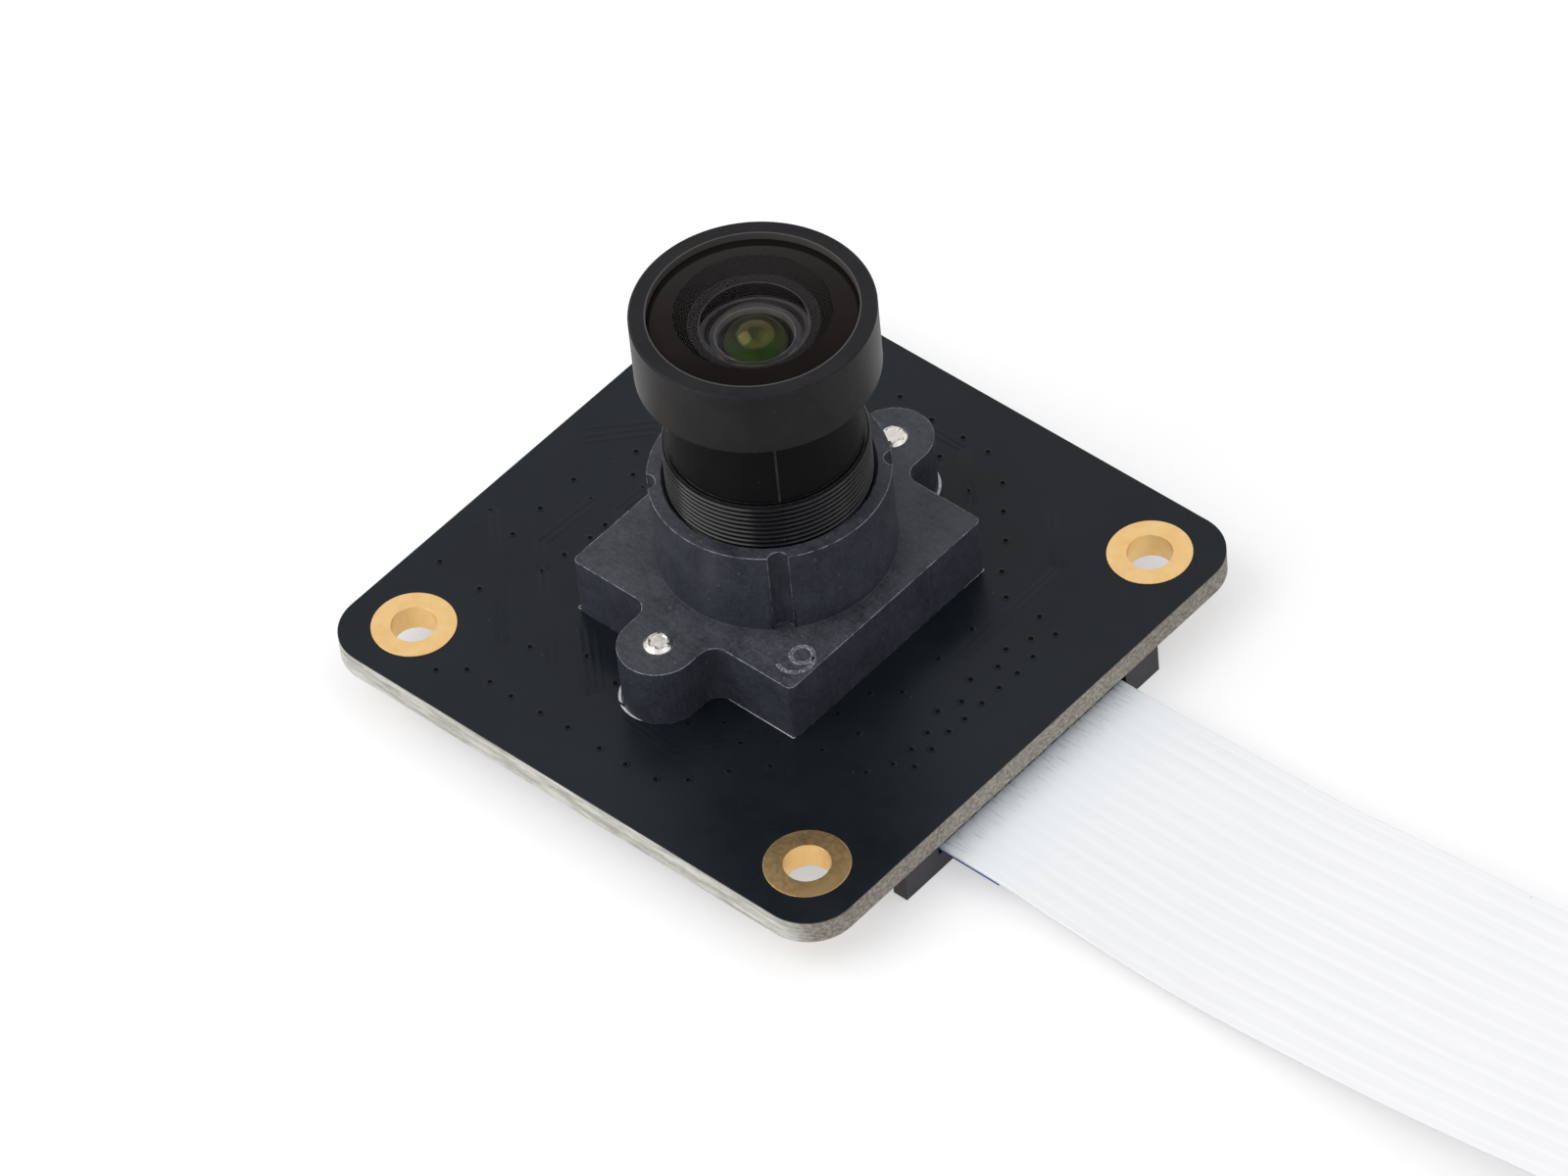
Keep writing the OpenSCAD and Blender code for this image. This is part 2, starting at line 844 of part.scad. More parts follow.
module chip_resistors() {
    color([0.1, 0.1, 0.11])
    for (p = resistor_at)
        translate([p[0], p[1], 0])
            chip_body(resistor_h);
}

module chip_terminals() {
    color([0.82, 0.82, 0.8]) {
        for (p = capacitor_at)
            translate([p[0], p[1], 0])
                chip_ends(capacitor_h);
        for (p = resistor_at)
            translate([p[0], p[1], 0])
                chip_ends(resistor_h);
    }
}

circuit_board();
hole_plating();
lens_holder();
holder_screws();
lens_barrel();
front_lens();
front_spacer();
second_lens();
middle_spacer();
aperture_stop();
third_lens();
rear_spacer();
rear_lens();
lens_retainer();
ir_cut_filter();
sensor_package();
sensor_die();
sensor_glass();
ribbon_connector();
connector_latch();
connector_contacts();
connector_anchors();
ribbon_cable();
ribbon_stiffeners();
ribbon_contact_strips();
voltage_regulators();
crystal_oscillator();
chip_capacitors();
chip_resistors();
chip_terminals();
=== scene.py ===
# %% [markdown]
# # A board camera with a screw-in lens
# The solid model of the camera module is already finished and packed.
# This lesson dresses it: a camera and light, the white ribbon cable, the fine detail of the board and the moulding, and a material for every surface.
# The model comes in first.

# %% Load the imported model
import json
import math

import bmesh
import bpy
from mathutils import Matrix, Vector


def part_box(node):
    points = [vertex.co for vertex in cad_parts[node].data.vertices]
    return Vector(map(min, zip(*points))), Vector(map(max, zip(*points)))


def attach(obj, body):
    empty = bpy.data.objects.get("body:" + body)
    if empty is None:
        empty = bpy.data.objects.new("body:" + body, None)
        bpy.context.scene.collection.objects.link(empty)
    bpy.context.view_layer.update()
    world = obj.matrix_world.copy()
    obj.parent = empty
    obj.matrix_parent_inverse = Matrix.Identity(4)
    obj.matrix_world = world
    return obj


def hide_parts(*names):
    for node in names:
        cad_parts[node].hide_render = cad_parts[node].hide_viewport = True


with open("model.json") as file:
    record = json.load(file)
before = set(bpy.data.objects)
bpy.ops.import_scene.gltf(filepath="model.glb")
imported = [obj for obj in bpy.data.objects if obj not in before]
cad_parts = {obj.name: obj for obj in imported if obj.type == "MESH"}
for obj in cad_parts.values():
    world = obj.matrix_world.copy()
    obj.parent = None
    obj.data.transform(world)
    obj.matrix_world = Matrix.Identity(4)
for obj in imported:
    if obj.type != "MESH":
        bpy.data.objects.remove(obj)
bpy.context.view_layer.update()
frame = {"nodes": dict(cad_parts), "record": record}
nodes = frame["nodes"]
scene = bpy.context.scene
scene.view_settings.view_transform = "Standard"
MM = 0.001

# %% [markdown]
# ## Camera
# The object was photographed with a long lens from half a metre away, from above and from the cable side.
# The place and the turn of the camera were solved from the corners of the board and its four holes, so straight lines meet where they do in the picture.

# %% Camera
camera_data = bpy.data.cameras.new("studio_camera")
camera_data.lens = 214.135
camera_data.sensor_width = 36
camera_data.clip_start = 0.01
camera_data.clip_end = 20
camera = bpy.data.objects.new("studio_camera", camera_data)
camera.location = (0.262224, -0.257649, 0.390520)
camera.rotation_euler = [math.radians(a) for a in (43.23599, 4.09294, 41.14229)]
scene.collection.objects.link(camera)
scene.camera = camera
print("camera", round(camera.location.length * 1000), "mm from the board")

# %% [markdown]
# ## Ribbon cable
# A flat flexible cable is fifteen tinned copper strips, one millimetre apart, between two white films. The films sink a little between the strips, so the face is finely ribbed.
# It could be a curve with a flat bevel, but a swept outline keeps the ribs and gives them a map that runs across and along the cable.
# The outline starts as a ring of points, and each step extrudes the last ring and carries it to the next place on the route.
# The upper film begins just outside the connector and leaves the contact strips bare inside it, so the upper points step up there.

# %% Route of the ribbon
# along X, height and roll, for points on the middle line of the cable
ribbon_route = [
    (14.5, -0.88, 0), (23.2, -0.88, 0), (26, -0.92, 1.5), (29, -0.96, 2.6), (32, -0.98, 3.6), (35, -0.9, 4.4),
    (38, -0.68, 5.2), (41, -0.36, 5.8), (45, 0.06, 6), (50, 0.6, 5.6), (56, 1.5, 5.2), (62, 2.5, 4.8), (70, 3.6, 4),
    (78, 4.2, 3.2), (86, 4.3, 2.4), (94, 3.8, 1.6), (102, 2.8, 1), (110, 1.5, 0.5), (118, 0.1, 0.2), (126, -1.1, 0),
    (134, -1.9, 0), (142, -2.2, 0), (150, -2.3, 0), (164, -2.3, 0),
]


def between(knots, x, column):
    """A smooth value between the knots of a table whose first column rises."""
    last = len(knots) - 2
    i = max(0, min(last, sum(1 for k in knots if k[0] <= x) - 1))
    a, b = knots[i], knots[i + 1]

    def slope(k):
        k = max(1, min(last, k))
        return (knots[k + 1][column] - knots[k - 1][column]) / (knots[k + 1][0] - knots[k - 1][0])

    width = b[0] - a[0]
    t = (x - a[0]) / width
    rise = a[column] * (2 * t**3 - 3 * t**2 + 1) + b[column] * (3 * t**2 - 2 * t**3)
    return rise + width * (slope(i) * (t**3 - 2 * t**2 + t) + slope(i + 1) * (t**3 - t**2))


stations = [14.5 + i for i in range(5)] + [18.58, 18.62] + [19.5 + i for i in range(46)]
stations += [66.5 + 2 * i for i in range(47)] + [159.88, 159.92, 162, 164]
ribbon_path = [(x, between(ribbon_route, x, 1), between(ribbon_route, x, 2)) for x in stations]
ribbon_length = sum(
    math.dist(a[:2], b[:2]) for a, b in zip(ribbon_path, ribbon_path[1:])
) * MM
print("ribbon", round(ribbon_length * 1000, 1), "mm long in", len(stations), "rings")

# %% Outline of the ribbon
RIBBON_HALF = 8.0
STRIP_COUNT = 15
OVER_STRIP, OVER_GAP = 0.1, 0.09
outline_top = [(-RIBBON_HALF, 0.045), (-RIBBON_HALF + 0.05, OVER_GAP)]
for strip in range(STRIP_COUNT):
    middle = strip - (STRIP_COUNT - 1) / 2
    outline_top += [
        (middle - 0.46, OVER_GAP), (middle - 0.34, OVER_GAP + 0.002), (middle - 0.25, OVER_STRIP - 0.002),
        (middle - 0.12, OVER_STRIP), (middle + 0.12, OVER_STRIP), (middle + 0.25, OVER_STRIP - 0.002),
        (middle + 0.34, OVER_GAP + 0.002),
    ]
outline_top += [(middle + 0.46, OVER_GAP), (RIBBON_HALF - 0.05, OVER_GAP), (RIBBON_HALF, 0.045)]
outline = outline_top + [(across, -up) for across, up in reversed(outline_top)]
print(len(outline), "points round the ribbon")

# %% Sweep the ribbon


def ribbon_place(index):
    """Where the outline stands at one station: turned with the slope and rolled about the cable."""
    x, z, roll = ribbon_path[index]
    before, after = ribbon_path[max(0, index - 1)], ribbon_path[min(len(ribbon_path) - 1, index + 1)]
    slope = math.atan2(after[1] - before[1], after[0] - before[0])
    place = Matrix.Translation(Vector((x, 0, z)) * MM)
    return place @ Matrix.Rotation(-slope, 4, "Y") @ Matrix.Rotation(math.radians(roll), 4, "X")


FILM_STARTS, FILM_ENDS, FILM_T = 18.6, 159.9, 0.06
ribbon_mesh = bmesh.new()
across_layer = ribbon_mesh.verts.layers.float.new("across")
along_layer = ribbon_mesh.verts.layers.float.new("along")
upper_layer = ribbon_mesh.verts.layers.float.new("upper")
ring = []
for across, up in outline:
    vert = ribbon_mesh.verts.new(ribbon_place(0) @ (Vector((0, across, up)) * MM))
    vert[across_layer] = across
    vert[upper_layer] = 1.0 if up > 0 else 0.0
    ring.append(vert)
ring_edges = [ribbon_mesh.edges.new((a, b)) for a, b in zip(ring, ring[1:] + ring[:1])]
bmesh.ops.edgeloop_fill(ribbon_mesh, edges=ring_edges)
for index in range(1, len(ribbon_path)):
    grown = bmesh.ops.extrude_edge_only(ribbon_mesh, edges=ring_edges)["geom"]
    fresh = [g for g in grown if isinstance(g, bmesh.types.BMVert)]
    ring_edges = [g for g in grown if isinstance(g, bmesh.types.BMEdge) and all(v in set(fresh) for v in g.verts)]
    step = ribbon_place(index) @ ribbon_place(index - 1).inverted()
    bmesh.ops.transform(ribbon_mesh, matrix=step, verts=fresh)
    change = (stations[index] > FILM_STARTS > stations[index - 1]) - (stations[index] > FILM_ENDS > stations[index - 1])
    for vert in fresh:
        vert[along_layer] = stations[index] - stations[0]
        if change and vert[upper_layer] > 0.5:
            vert.co.z += change * FILM_T * MM
bmesh.ops.edgeloop_fill(ribbon_mesh, edges=ring_edges)
bmesh.ops.recalc_face_normals(ribbon_mesh, faces=ribbon_mesh.faces[:])
ribbon_map = ribbon_mesh.loops.layers.uv.new("ribbon_map")
for face in ribbon_mesh.faces:
    for loop in face.loops:
        loop[ribbon_map].uv = (loop.vert[across_layer], loop.vert[along_layer])
print(len(ribbon_mesh.faces), "faces on the ribbon")

# %% [markdown]
# ## Helpers for pieces and materials
# Every piece is finished the same way: its mesh becomes an object, gets its materials, shades smooth except at real corners, and rides on a solid body.
# Materials are made for one finish of this object each. They all start from one Principled shader, and a few shared
# node groups give them grain, dust and pale edges, which are rubbed wear and, on the holder and the lens barrel, also a
# painted highlight.

# %% Piece helper


def put_on(name, mesh, body, materials, corner=32):
    """Makes a piece of a bmesh, and shades it smooth up to the corner angle."""
    data = bpy.data.meshes.new(name)
    mesh.to_mesh(data)
    mesh.free()
    data.shade_smooth()
    data.set_sharp_from_angle(angle=math.radians(corner))
    piece = bpy.data.objects.new(name, data)
    scene.collection.objects.link(piece)
    for material in materials:
        data.materials.append(material)
    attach(piece, body)
    print(name, len(data.polygons), "faces")
    return piece


# %% Material helpers


def finish(name, **sockets):
    """A new material and its Principled shader, with the sockets that are the same all over set to numbers."""
    material = bpy.data.materials.new(name)
    material.use_nodes = True
    shader = material.node_tree.nodes["Principled BSDF"]
    for socket, value in sockets.items():
        shader.inputs[socket.replace("_", " ")].default_value = value
    return material, shader


def add(tree, kind, values=None, **settings):
    """Adds a node, sets its properties, and sets or links its inputs."""
    node = tree.nodes.new("ShaderNode" + kind)
    for setting, value in settings.items():
        setattr(node, setting, value)
    for key, value in (values or {}).items():
        if isinstance(value, bpy.types.NodeSocket):
            tree.links.new(value, node.inputs[key])
        else:
            node.inputs[key].default_value = value
    return node


def join(tree, source, target):
    tree.links.new(source, target)


def blend_colours(tree, factor, first, second):
    """Mixes two colours, each a socket or four numbers."""
    mix = tree.nodes.new("ShaderNodeMix")
    mix.data_type = "RGBA"
    for key, value in ((0, factor), (6, first), (7, second)):
        if isinstance(value, bpy.types.NodeSocket):
            tree.links.new(value, mix.inputs[key])
        else:
            mix.inputs[key].default_value = value
    return mix.outputs[2]


def shape(tree, value, low, high, out_low=0.0, out_high=1.0, smooth=True):
    """Carries a value from one range to another."""
    node = add(tree, "MapRange", {0: value, 1: low, 2: high, 3: out_low, 4: out_high})
    node.interpolation_type = "SMOOTHSTEP" if smooth else "LINEAR"
    return node.outputs[0]


def figure(tree, operation, *values):
    """One step of arithmetic on sockets and numbers."""
    return add(tree, "Math", dict(enumerate(values)), operation=operation).outputs[0]


def position(tree, scale=1000.0, stretch=(1, 1, 1), turn=(0, 0, 0)):
    """Object coordinates in millimetres, stretched or turned where a pattern has a direction."""
    coordinates = add(tree, "TexCoord").outputs["Object"]
    mapping = add(tree, "Mapping", {"Vector": coordinates})
    mapping.inputs["Scale"].default_value = [scale * s for s in stretch]
    mapping.inputs["Rotation"].default_value = [math.radians(t) for t in turn]
    return mapping.outputs[0]


# %% [markdown]
# ## Shared effects
# Moulded plastic is never even: the mould leaves a fine spark grain, and the glass fibre in it shows as pale flecks and slow cloudiness.
# Sharp edges are rubbed paler, and on the holder and the lens barrel the pale edge also stands as a painted highlight.
# The Bevel node gives the surface direction as it would be on a rounded edge, so the difference between that and the
# real direction finds the edges.
# Dust and small specks come from the nearest-point pattern, cut off so that only a few are left.

# %% Group: moulded grain


def new_group(name, inputs, outputs):
    """An empty node group with named inputs (kind, name, default) and outputs (kind, name)."""
    group = bpy.data.node_groups.new(name, "ShaderNodeTree")
    for kind, label, value in inputs:
        socket = group.interface.new_socket(name=label, in_out="INPUT", socket_type="NodeSocket" + kind)
        if value is not None:
            socket.default_value = value
    for kind, label in outputs:
        group.interface.new_socket(name=label, in_out="OUTPUT", socket_type="NodeSocket" + kind)
    return group, group.nodes.new("NodeGroupInput"), group.nodes.new("NodeGroupOutput")


def use_group(tree, group, **values):
    """Places a group in a material and sets or links its inputs."""
    node = tree.nodes.new("ShaderNodeGroup")
    node.node_tree = group
    for key, value in values.items():
        socket = node.inputs[key.replace("_", " ")]
        if isinstance(value, bpy.types.NodeSocket):
            tree.links.new(value, socket)
        else:
            socket.default_value = value
    return node


moulded_grain, group_in, group_out = new_group(
    "moulded_grain",
    [("Vector", "Place", None), ("Float", "Grains per mm", 9.0), ("Float", "Clouds per mm", 0.6)],
    [("Float", "Grain"), ("Float", "Clouds"), ("Float", "Height")],
)
grain = add(moulded_grain, "TexNoise", {"Vector": group_in.outputs[0], "Scale": group_in.outputs[1], "Detail": 2.0, "Roughness": 0.6})
clouds = add(moulded_grain, "TexNoise", {"Vector": group_in.outputs[0], "Scale": group_in.outputs[2], "Detail": 5.0, "Roughness": 0.65})
join(moulded_grain, shape(moulded_grain, grain.outputs[0], 0.3, 0.7, smooth=False), group_out.inputs[0])
join(moulded_grain, shape(moulded_grain, clouds.outputs[0], 0.33, 0.67, smooth=False), group_out.inputs[1])
join(moulded_grain, grain.outputs[0], group_out.inputs[2])
print("group", moulded_grain.name)

# %% Group: rubbed edges and painted highlight
rubbed_edges_and_highlight, group_in, group_out = new_group(
    "rubbed_edges_and_highlight",
    [("Vector", "Place", None), ("Float", "Radius", 0.00008), ("Float", "Wear", 1.0)],
    [("Float", "Mask"), ("Vector", "Rounded")],
)
rounded = add(rubbed_edges_and_highlight, "Bevel", {"Radius": group_in.outputs[1]}, samples=6)
true_direction = add(rubbed_edges_and_highlight, "NewGeometry").outputs["Normal"]
likeness = add(rubbed_edges_and_highlight, "VectorMath", {0: rounded.outputs[0], 1: true_direction}, operation="DOT_PRODUCT").outputs["Value"]
edge = shape(rubbed_edges_and_highlight, likeness, 0.99, 0.86)
patches = add(rubbed_edges_and_highlight, "TexNoise", {"Vector": group_in.outputs[0], "Scale": 2.2, "Detail": 4.0, "Roughness": 0.7})
kept = shape(rubbed_edges_and_highlight, patches.outputs[0], 0.36, 0.62)
worn = figure(rubbed_edges_and_highlight, "MULTIPLY", figure(rubbed_edges_and_highlight, "MULTIPLY", edge, kept), group_in.outputs[2])
join(rubbed_edges_and_highlight, worn, group_out.inputs[0])
join(rubbed_edges_and_highlight, rounded.outputs[0], group_out.inputs[1])
print("group", rubbed_edges_and_highlight.name)

# %% Group: dust
fine_dust, group_in, group_out = new_group(
    "fine_dust", [("Vector", "Place", None), ("Float", "Per mm", 1.2), ("Float", "Size", 0.06)], [("Float", "Mask")]
)
cells = add(fine_dust, "TexVoronoi", {"Vector": group_in.outputs[0], "Scale": group_in.outputs[1], "Randomness": 1.0})
near = figure(fine_dust, "LESS_THAN", cells.outputs["Distance"], group_in.outputs[2])
chosen = add(fine_dust, "SeparateColor", {0: cells.outputs["Color"]}).outputs[0]
join(fine_dust, figure(fine_dust, "MULTIPLY", near, figure(fine_dust, "GREATER_THAN", chosen, 0.72)), group_out.inputs[0])
print("group", fine_dust.name)


def bump(tree, shader, height, strength, distance, normal=None):
    """A bump from a height, in metres, on top of a rounded normal if there is one."""
    values = {"Height": height, "Strength": strength, "Distance": distance}
    if normal is not None:
        values["Normal"] = normal
    join(tree, add(tree, "Bump", values).outputs[0], shader.inputs["Normal"])


def plastic(name, dark, light, worn, rough, specular, grains=9.0, clouds=0.6, wear=0.6, rise=0.00001, radius=0.00008):
    """Moulded plastic: two tones in clouds, pale rubbed edges, a fine grain and a rounded look at corners."""
    material, shader = finish(name, Specular_IOR_Level=specular)
    tree = material.node_tree
    place = position(tree)
    mould = use_group(tree, moulded_grain, Place=place, Grains_per_mm=grains, Clouds_per_mm=clouds)
    edges = use_group(tree, rubbed_edges_and_highlight, Place=place, Radius=radius, Wear=wear)
    dust = use_group(tree, fine_dust, Place=place)
    tone = figure(tree, "ADD", figure(tree, "MULTIPLY", mould.outputs["Grain"], 0.35), figure(tree, "MULTIPLY", mould.outputs["Clouds"], 0.65))
    colour = blend_colours(tree, tone, dark, light)
    colour = blend_colours(tree, edges.outputs["Mask"], colour, worn)
    colour = blend_colours(tree, figure(tree, "MULTIPLY", dust.outputs[0], 0.25), colour, worn)
    join(tree, colour, shader.inputs["Base Color"])
    join(tree, shape(tree, mould.outputs["Clouds"], 0, 1, rough - 0.05, rough + 0.06), shader.inputs["Roughness"])
    bump(tree, shader, mould.outputs["Height"], 0.5, rise, edges.outputs["Rounded"])
    return material


# %% [markdown]
# ## Plastics
# The holder is glass filled nylon, blue-grey and mottled, with whitened edges that are partly rubbed where it was gated
# and trimmed and partly a painted highlight. The lens barrel is a warmer, finer satin black, and its pale edges are
# partly a painted highlight too.
# The connector is a dark grey with a violet tinge, and the chips are moulded epoxy.

# %% Holder plastic
holder_plastic, shader = finish("holder_plastic", Specular_IOR_Level=0.34)
tree = holder_plastic.node_tree
place = position(tree)
mould = use_group(tree, moulded_grain, Place=place, Grains_per_mm=10.0, Clouds_per_mm=0.42)
flow = add(tree, "TexNoise", {"Vector": position(tree, stretch=(0.5, 4.5, 1.0), turn=(0, 0, 28)), "Scale": 1.1, "Detail": 5.0, "Roughness": 0.7})
edges = use_group(tree, rubbed_edges_and_highlight, Place=place, Radius=0.00009, Wear=1.0)
dust = use_group(tree, fine_dust, Place=place, Per_mm=1.6, Size=0.09)
speckle = shape(tree, add(tree, "TexNoise", {"Vector": place, "Scale": 5.0, "Detail": 4.0, "Roughness": 0.75}).outputs[0], 0.36, 0.72)
faces_up = shape(tree, add(tree, "SeparateXYZ", {0: add(tree, "TexCoord").outputs["Normal"]}).outputs[2], 0.4, 0.8)
tone = figure(tree, "ADD", figure(tree, "MULTIPLY", mould.outputs["Clouds"], 0.42), figure(tree, "MULTIPLY", shape(tree, flow.outputs[0], 0.36, 0.66), 0.16))
tone = figure(tree, "ADD", tone, figure(tree, "MULTIPLY", speckle, 0.42))
top_tone = blend_colours(tree, tone, (0.016, 0.018, 0.023, 1), (0.088, 0.095, 0.11, 1))
side_tone = blend_colours(tree, tone, (0.018, 0.021, 0.029, 1), (0.055, 0.061, 0.078, 1))
spot = add(tree, "SeparateXYZ", {0: place})
colour = blend_colours(tree, faces_up, side_tone, top_tone)
from_axis = add(tree, "VectorMath", {0: add(tree, "VectorMath", {0: place, 1: (1, 1, 0)}, operation="MULTIPLY").outputs[0]}, operation="LENGTH").outputs["Value"]
near_joint = figure(tree, "MULTIPLY", figure(tree, "COMPARE", from_axis, 7.0, 0.14), figure(tree, "COMPARE", spot.outputs[2], 5.72, 0.12))
# Pale edges, but not at the joint with the lens: partly rubbed wear, partly a painted highlight along the edges.
rubbed = figure(tree, "MULTIPLY", edges.outputs["Mask"], figure(tree, "SUBTRACT", 1.0, near_joint))
colour = blend_colours(tree, rubbed, colour, (0.5, 0.52, 0.56, 1))
colour = blend_colours(tree, figure(tree, "MULTIPLY", dust.outputs[0], 0.3), colour, (0.3, 0.32, 0.35, 1))
join(tree, colour, shader.inputs["Base Color"])
join(tree, shape(tree, tone, 0.2, 0.8, 0.38, 0.52), shader.inputs["Roughness"])
bump(tree, shader, mould.outputs["Height"], 0.6, 0.000016, edges.outputs["Rounded"])
print("material", holder_plastic.name)

# %% Scuffed plastic
scuffed_plastic, shader = finish("scuffed_plastic", Specular_IOR_Level=0.34, Roughness=0.5)
tree = scuffed_plastic.node_tree
place = position(tree)
edges = use_group(tree, rubbed_edges_and_highlight, Place=place, Radius=0.00005, Wear=1.0)
dots = shape(tree, add(tree, "TexNoise", {"Vector": place, "Scale": 9.0, "Detail": 2.0}).outputs[0], 0.46, 0.6)
colour = blend_colours(tree, dots, (0.09, 0.097, 0.115, 1), (0.26, 0.27, 0.3, 1))
colour = blend_colours(tree, figure(tree, "MULTIPLY", edges.outputs["Mask"], dots), colour, (0.6, 0.62, 0.67, 1))
join(tree, colour, shader.inputs["Base Color"])
join(tree, edges.outputs["Rounded"], shader.inputs["Normal"])
print("material", scuffed_plastic.name)

# %% Lens barrel plastic
THREAD_START, THREAD_PITCH = 11.0, 0.35
barrel_plastic, shader = finish("barrel_plastic", Specular_IOR_Level=0.12, Coat_Roughness=0.16)
tree = barrel_plastic.node_tree
place = position(tree)
mould = use_group(tree, moulded_grain, Place=place, Grains_per_mm=15.0, Clouds_per_mm=0.4)
edges = use_group(tree, rubbed_edges_and_highlight, Place=place, Radius=0.00006, Wear=0.5)
dust = use_group(tree, fine_dust, Place=place, Per_mm=1.1, Size=0.05)
lens_spot = add(tree, "SeparateXYZ", {0: place})
on_head = shape(tree, lens_spot.outputs[2], 19.6, 20.2)
on_thread = shape(tree, lens_spot.outputs[2], 14.7, 14.5)
turns = figure(tree, "FRACT", figure(tree, "DIVIDE", figure(tree, "SUBTRACT", lens_spot.outputs[2], THREAD_START), THREAD_PITCH))
thread_root_shade = figure(tree, "MULTIPLY", shape(tree, figure(tree, "ABSOLUTE", figure(tree, "SUBTRACT", turns, 0.65)), 0.26, 0.1), on_thread)
neck_tone = blend_colours(tree, mould.outputs["Clouds"], (0.001, 0.0008, 0.0012, 1), (0.0025, 0.002, 0.0028, 1))
head_tone = blend_colours(tree, mould.outputs["Clouds"], (0.012, 0.0112, 0.0122, 1), (0.019, 0.018, 0.0194, 1))
from_axis = add(tree, "VectorMath", {0: add(tree, "VectorMath", {0: place, 1: (1, 1, 0)}, operation="MULTIPLY").outputs[0]}, operation="LENGTH").outputs["Value"]
# The wall of the glass pocket is painted paler all round: a painted sheen of light on that wall.
pocket_wall_sheen = figure(tree, "MULTIPLY", figure(tree, "LESS_THAN", from_axis, 6.08), figure(tree, "GREATER_THAN", lens_spot.outputs[2], 22.9))
head_tone = blend_colours(tree, pocket_wall_sheen, head_tone, (0.085, 0.08, 0.076, 1))
colour = blend_colours(tree, on_head, neck_tone, head_tone)
# The roots of the thread are painted near black: painted shade in the grooves.
colour = blend_colours(tree, figure(tree, "MULTIPLY", thread_root_shade, 0.9), colour, (0.001, 0.001, 0.001, 1))
# The pale edges are partly rubbed wear and partly a painted highlight along the rims of the head.
colour = blend_colours(tree, edges.outputs["Mask"], colour, (0.12, 0.12, 0.12, 1))
colour = blend_colours(tree, figure(tree, "MULTIPLY", dust.outputs[0], 0.2), colour, (0.25, 0.25, 0.25, 1))
join(tree, colour, shader.inputs["Base Color"])
head_rough = shape(tree, mould.outputs["Grain"], 0, 1, 0.36, 0.46)
neck_rough = add(tree, "Mix", {0: on_thread, 2: 0.58, 3: 0.24}).outputs[0]
smooth_part = add(tree, "Mix", {0: on_head, 2: neck_rough, 3: head_rough}).outputs[0]
join(tree, add(tree, "Mix", {0: thread_root_shade, 2: smooth_part, 3: 0.8}).outputs[0], shader.inputs["Roughness"])
crest = figure(tree, "MULTIPLY", on_thread, figure(tree, "SUBTRACT", 1.0, thread_root_shade))
join(tree, figure(tree, "MULTIPLY", crest, 0.55), shader.inputs["Coat Weight"])
bump(tree, shader, mould.outputs["Height"], 0.4, 0.000005, edges.outputs["Rounded"])
print("material", barrel_plastic.name)

# %% Other plastics
seam_plastic = plastic(
    "seam_plastic", (0.006, 0.006, 0.0065, 1), (0.034, 0.034, 0.036, 1), (0.1, 0.1, 0.1, 1), 0.35, 0.3,
    grains=6.0, clouds=1.2, wear=0.4, rise=0.000003, radius=0.00002,
)
inner_plastic = plastic(
    "inner_plastic", (0.016, 0.015, 0.015, 1), (0.03, 0.028, 0.028, 1), (0.1, 0.1, 0.1, 1), 0.34, 0.4,
    grains=14.0, clouds=0.8, wear=0.3, rise=0.000003,
)
connector_plastic = plastic(
    "connector_plastic", (0.018, 0.016, 0.019, 1), (0.032, 0.028, 0.033, 1), (0.12, 0.115, 0.125, 1), 0.5, 0.4,
    grains=8.0, clouds=0.7, wear=0.5, rise=0.00001,
)
chip_epoxy = plastic(
    "chip_epoxy", (0.012, 0.012, 0.014, 1), (0.026, 0.026, 0.03, 1), (0.09, 0.09, 0.1, 1), 0.48, 0.4,
    grains=14.0, clouds=1.2, wear=0.3, rise=0.000008, radius=0.00004,
)
fired_ceramic = plastic(
    "fired_ceramic", (0.17, 0.11, 0.06, 1), (0.26, 0.18, 0.11, 1), (0.4, 0.32, 0.24, 1), 0.55, 0.4,
    grains=16.0, clouds=2.0, wear=0.3, rise=0.000006, radius=0.00003,
)
package_ceramic = plastic(
    "package_ceramic", (0.12, 0.09, 0.07, 1), (0.17, 0.14, 0.11, 1), (0.3, 0.26, 0.22, 1), 0.6, 0.4,
    grains=12.0, clouds=1.0, wear=0.3, rise=0.000006, radius=0.00004,
)
print("plastics", inner_plastic.name, connector_plastic.name, chip_epoxy.name)

# %% [markdown]
# ## Board
# The faces carry a matt black solder mask over copper. Its sheen is low, and under it the copper makes slow dark and light shapes.
# The cut edges show the bare laminate: pale woven glass in resin, in layers that run along the edge. The front edge is
# cream, and the side next to the cable is browner and darker, partly its own colour and partly painted shade.
# One material does both, because the direction of the surface tells a face from an edge.

# %% Board material
board_finish, shader = finish("board_finish", Specular_IOR_Level=0.2)
tree = board_finish.node_tree
place = position(tree)
direction = add(tree, "SeparateXYZ", {0: add(tree, "TexCoord").outputs["Normal"]})
is_face = figure(tree, "GREATER_THAN", figure(tree, "ABSOLUTE", direction.outputs[2]), 0.7)
mask_grain = use_group(tree, moulded_grain, Place=place, Grains_per_mm=12.0, Clouds_per_mm=0.2)
mask_colour = blend_colours(tree, mask_grain.outputs["Clouds"], (0.0055, 0.0085, 0.0115, 1), (0.009, 0.0125, 0.016, 1))
mask_dust = use_group(tree, fine_dust, Place=place, Per_mm=0.7, Size=0.045)
mask_colour = blend_colours(tree, figure(tree, "MULTIPLY", mask_dust.outputs[0], 0.1), mask_colour, (0.3, 0.3, 0.3, 1))
height = add(tree, "SeparateXYZ", {0: place})
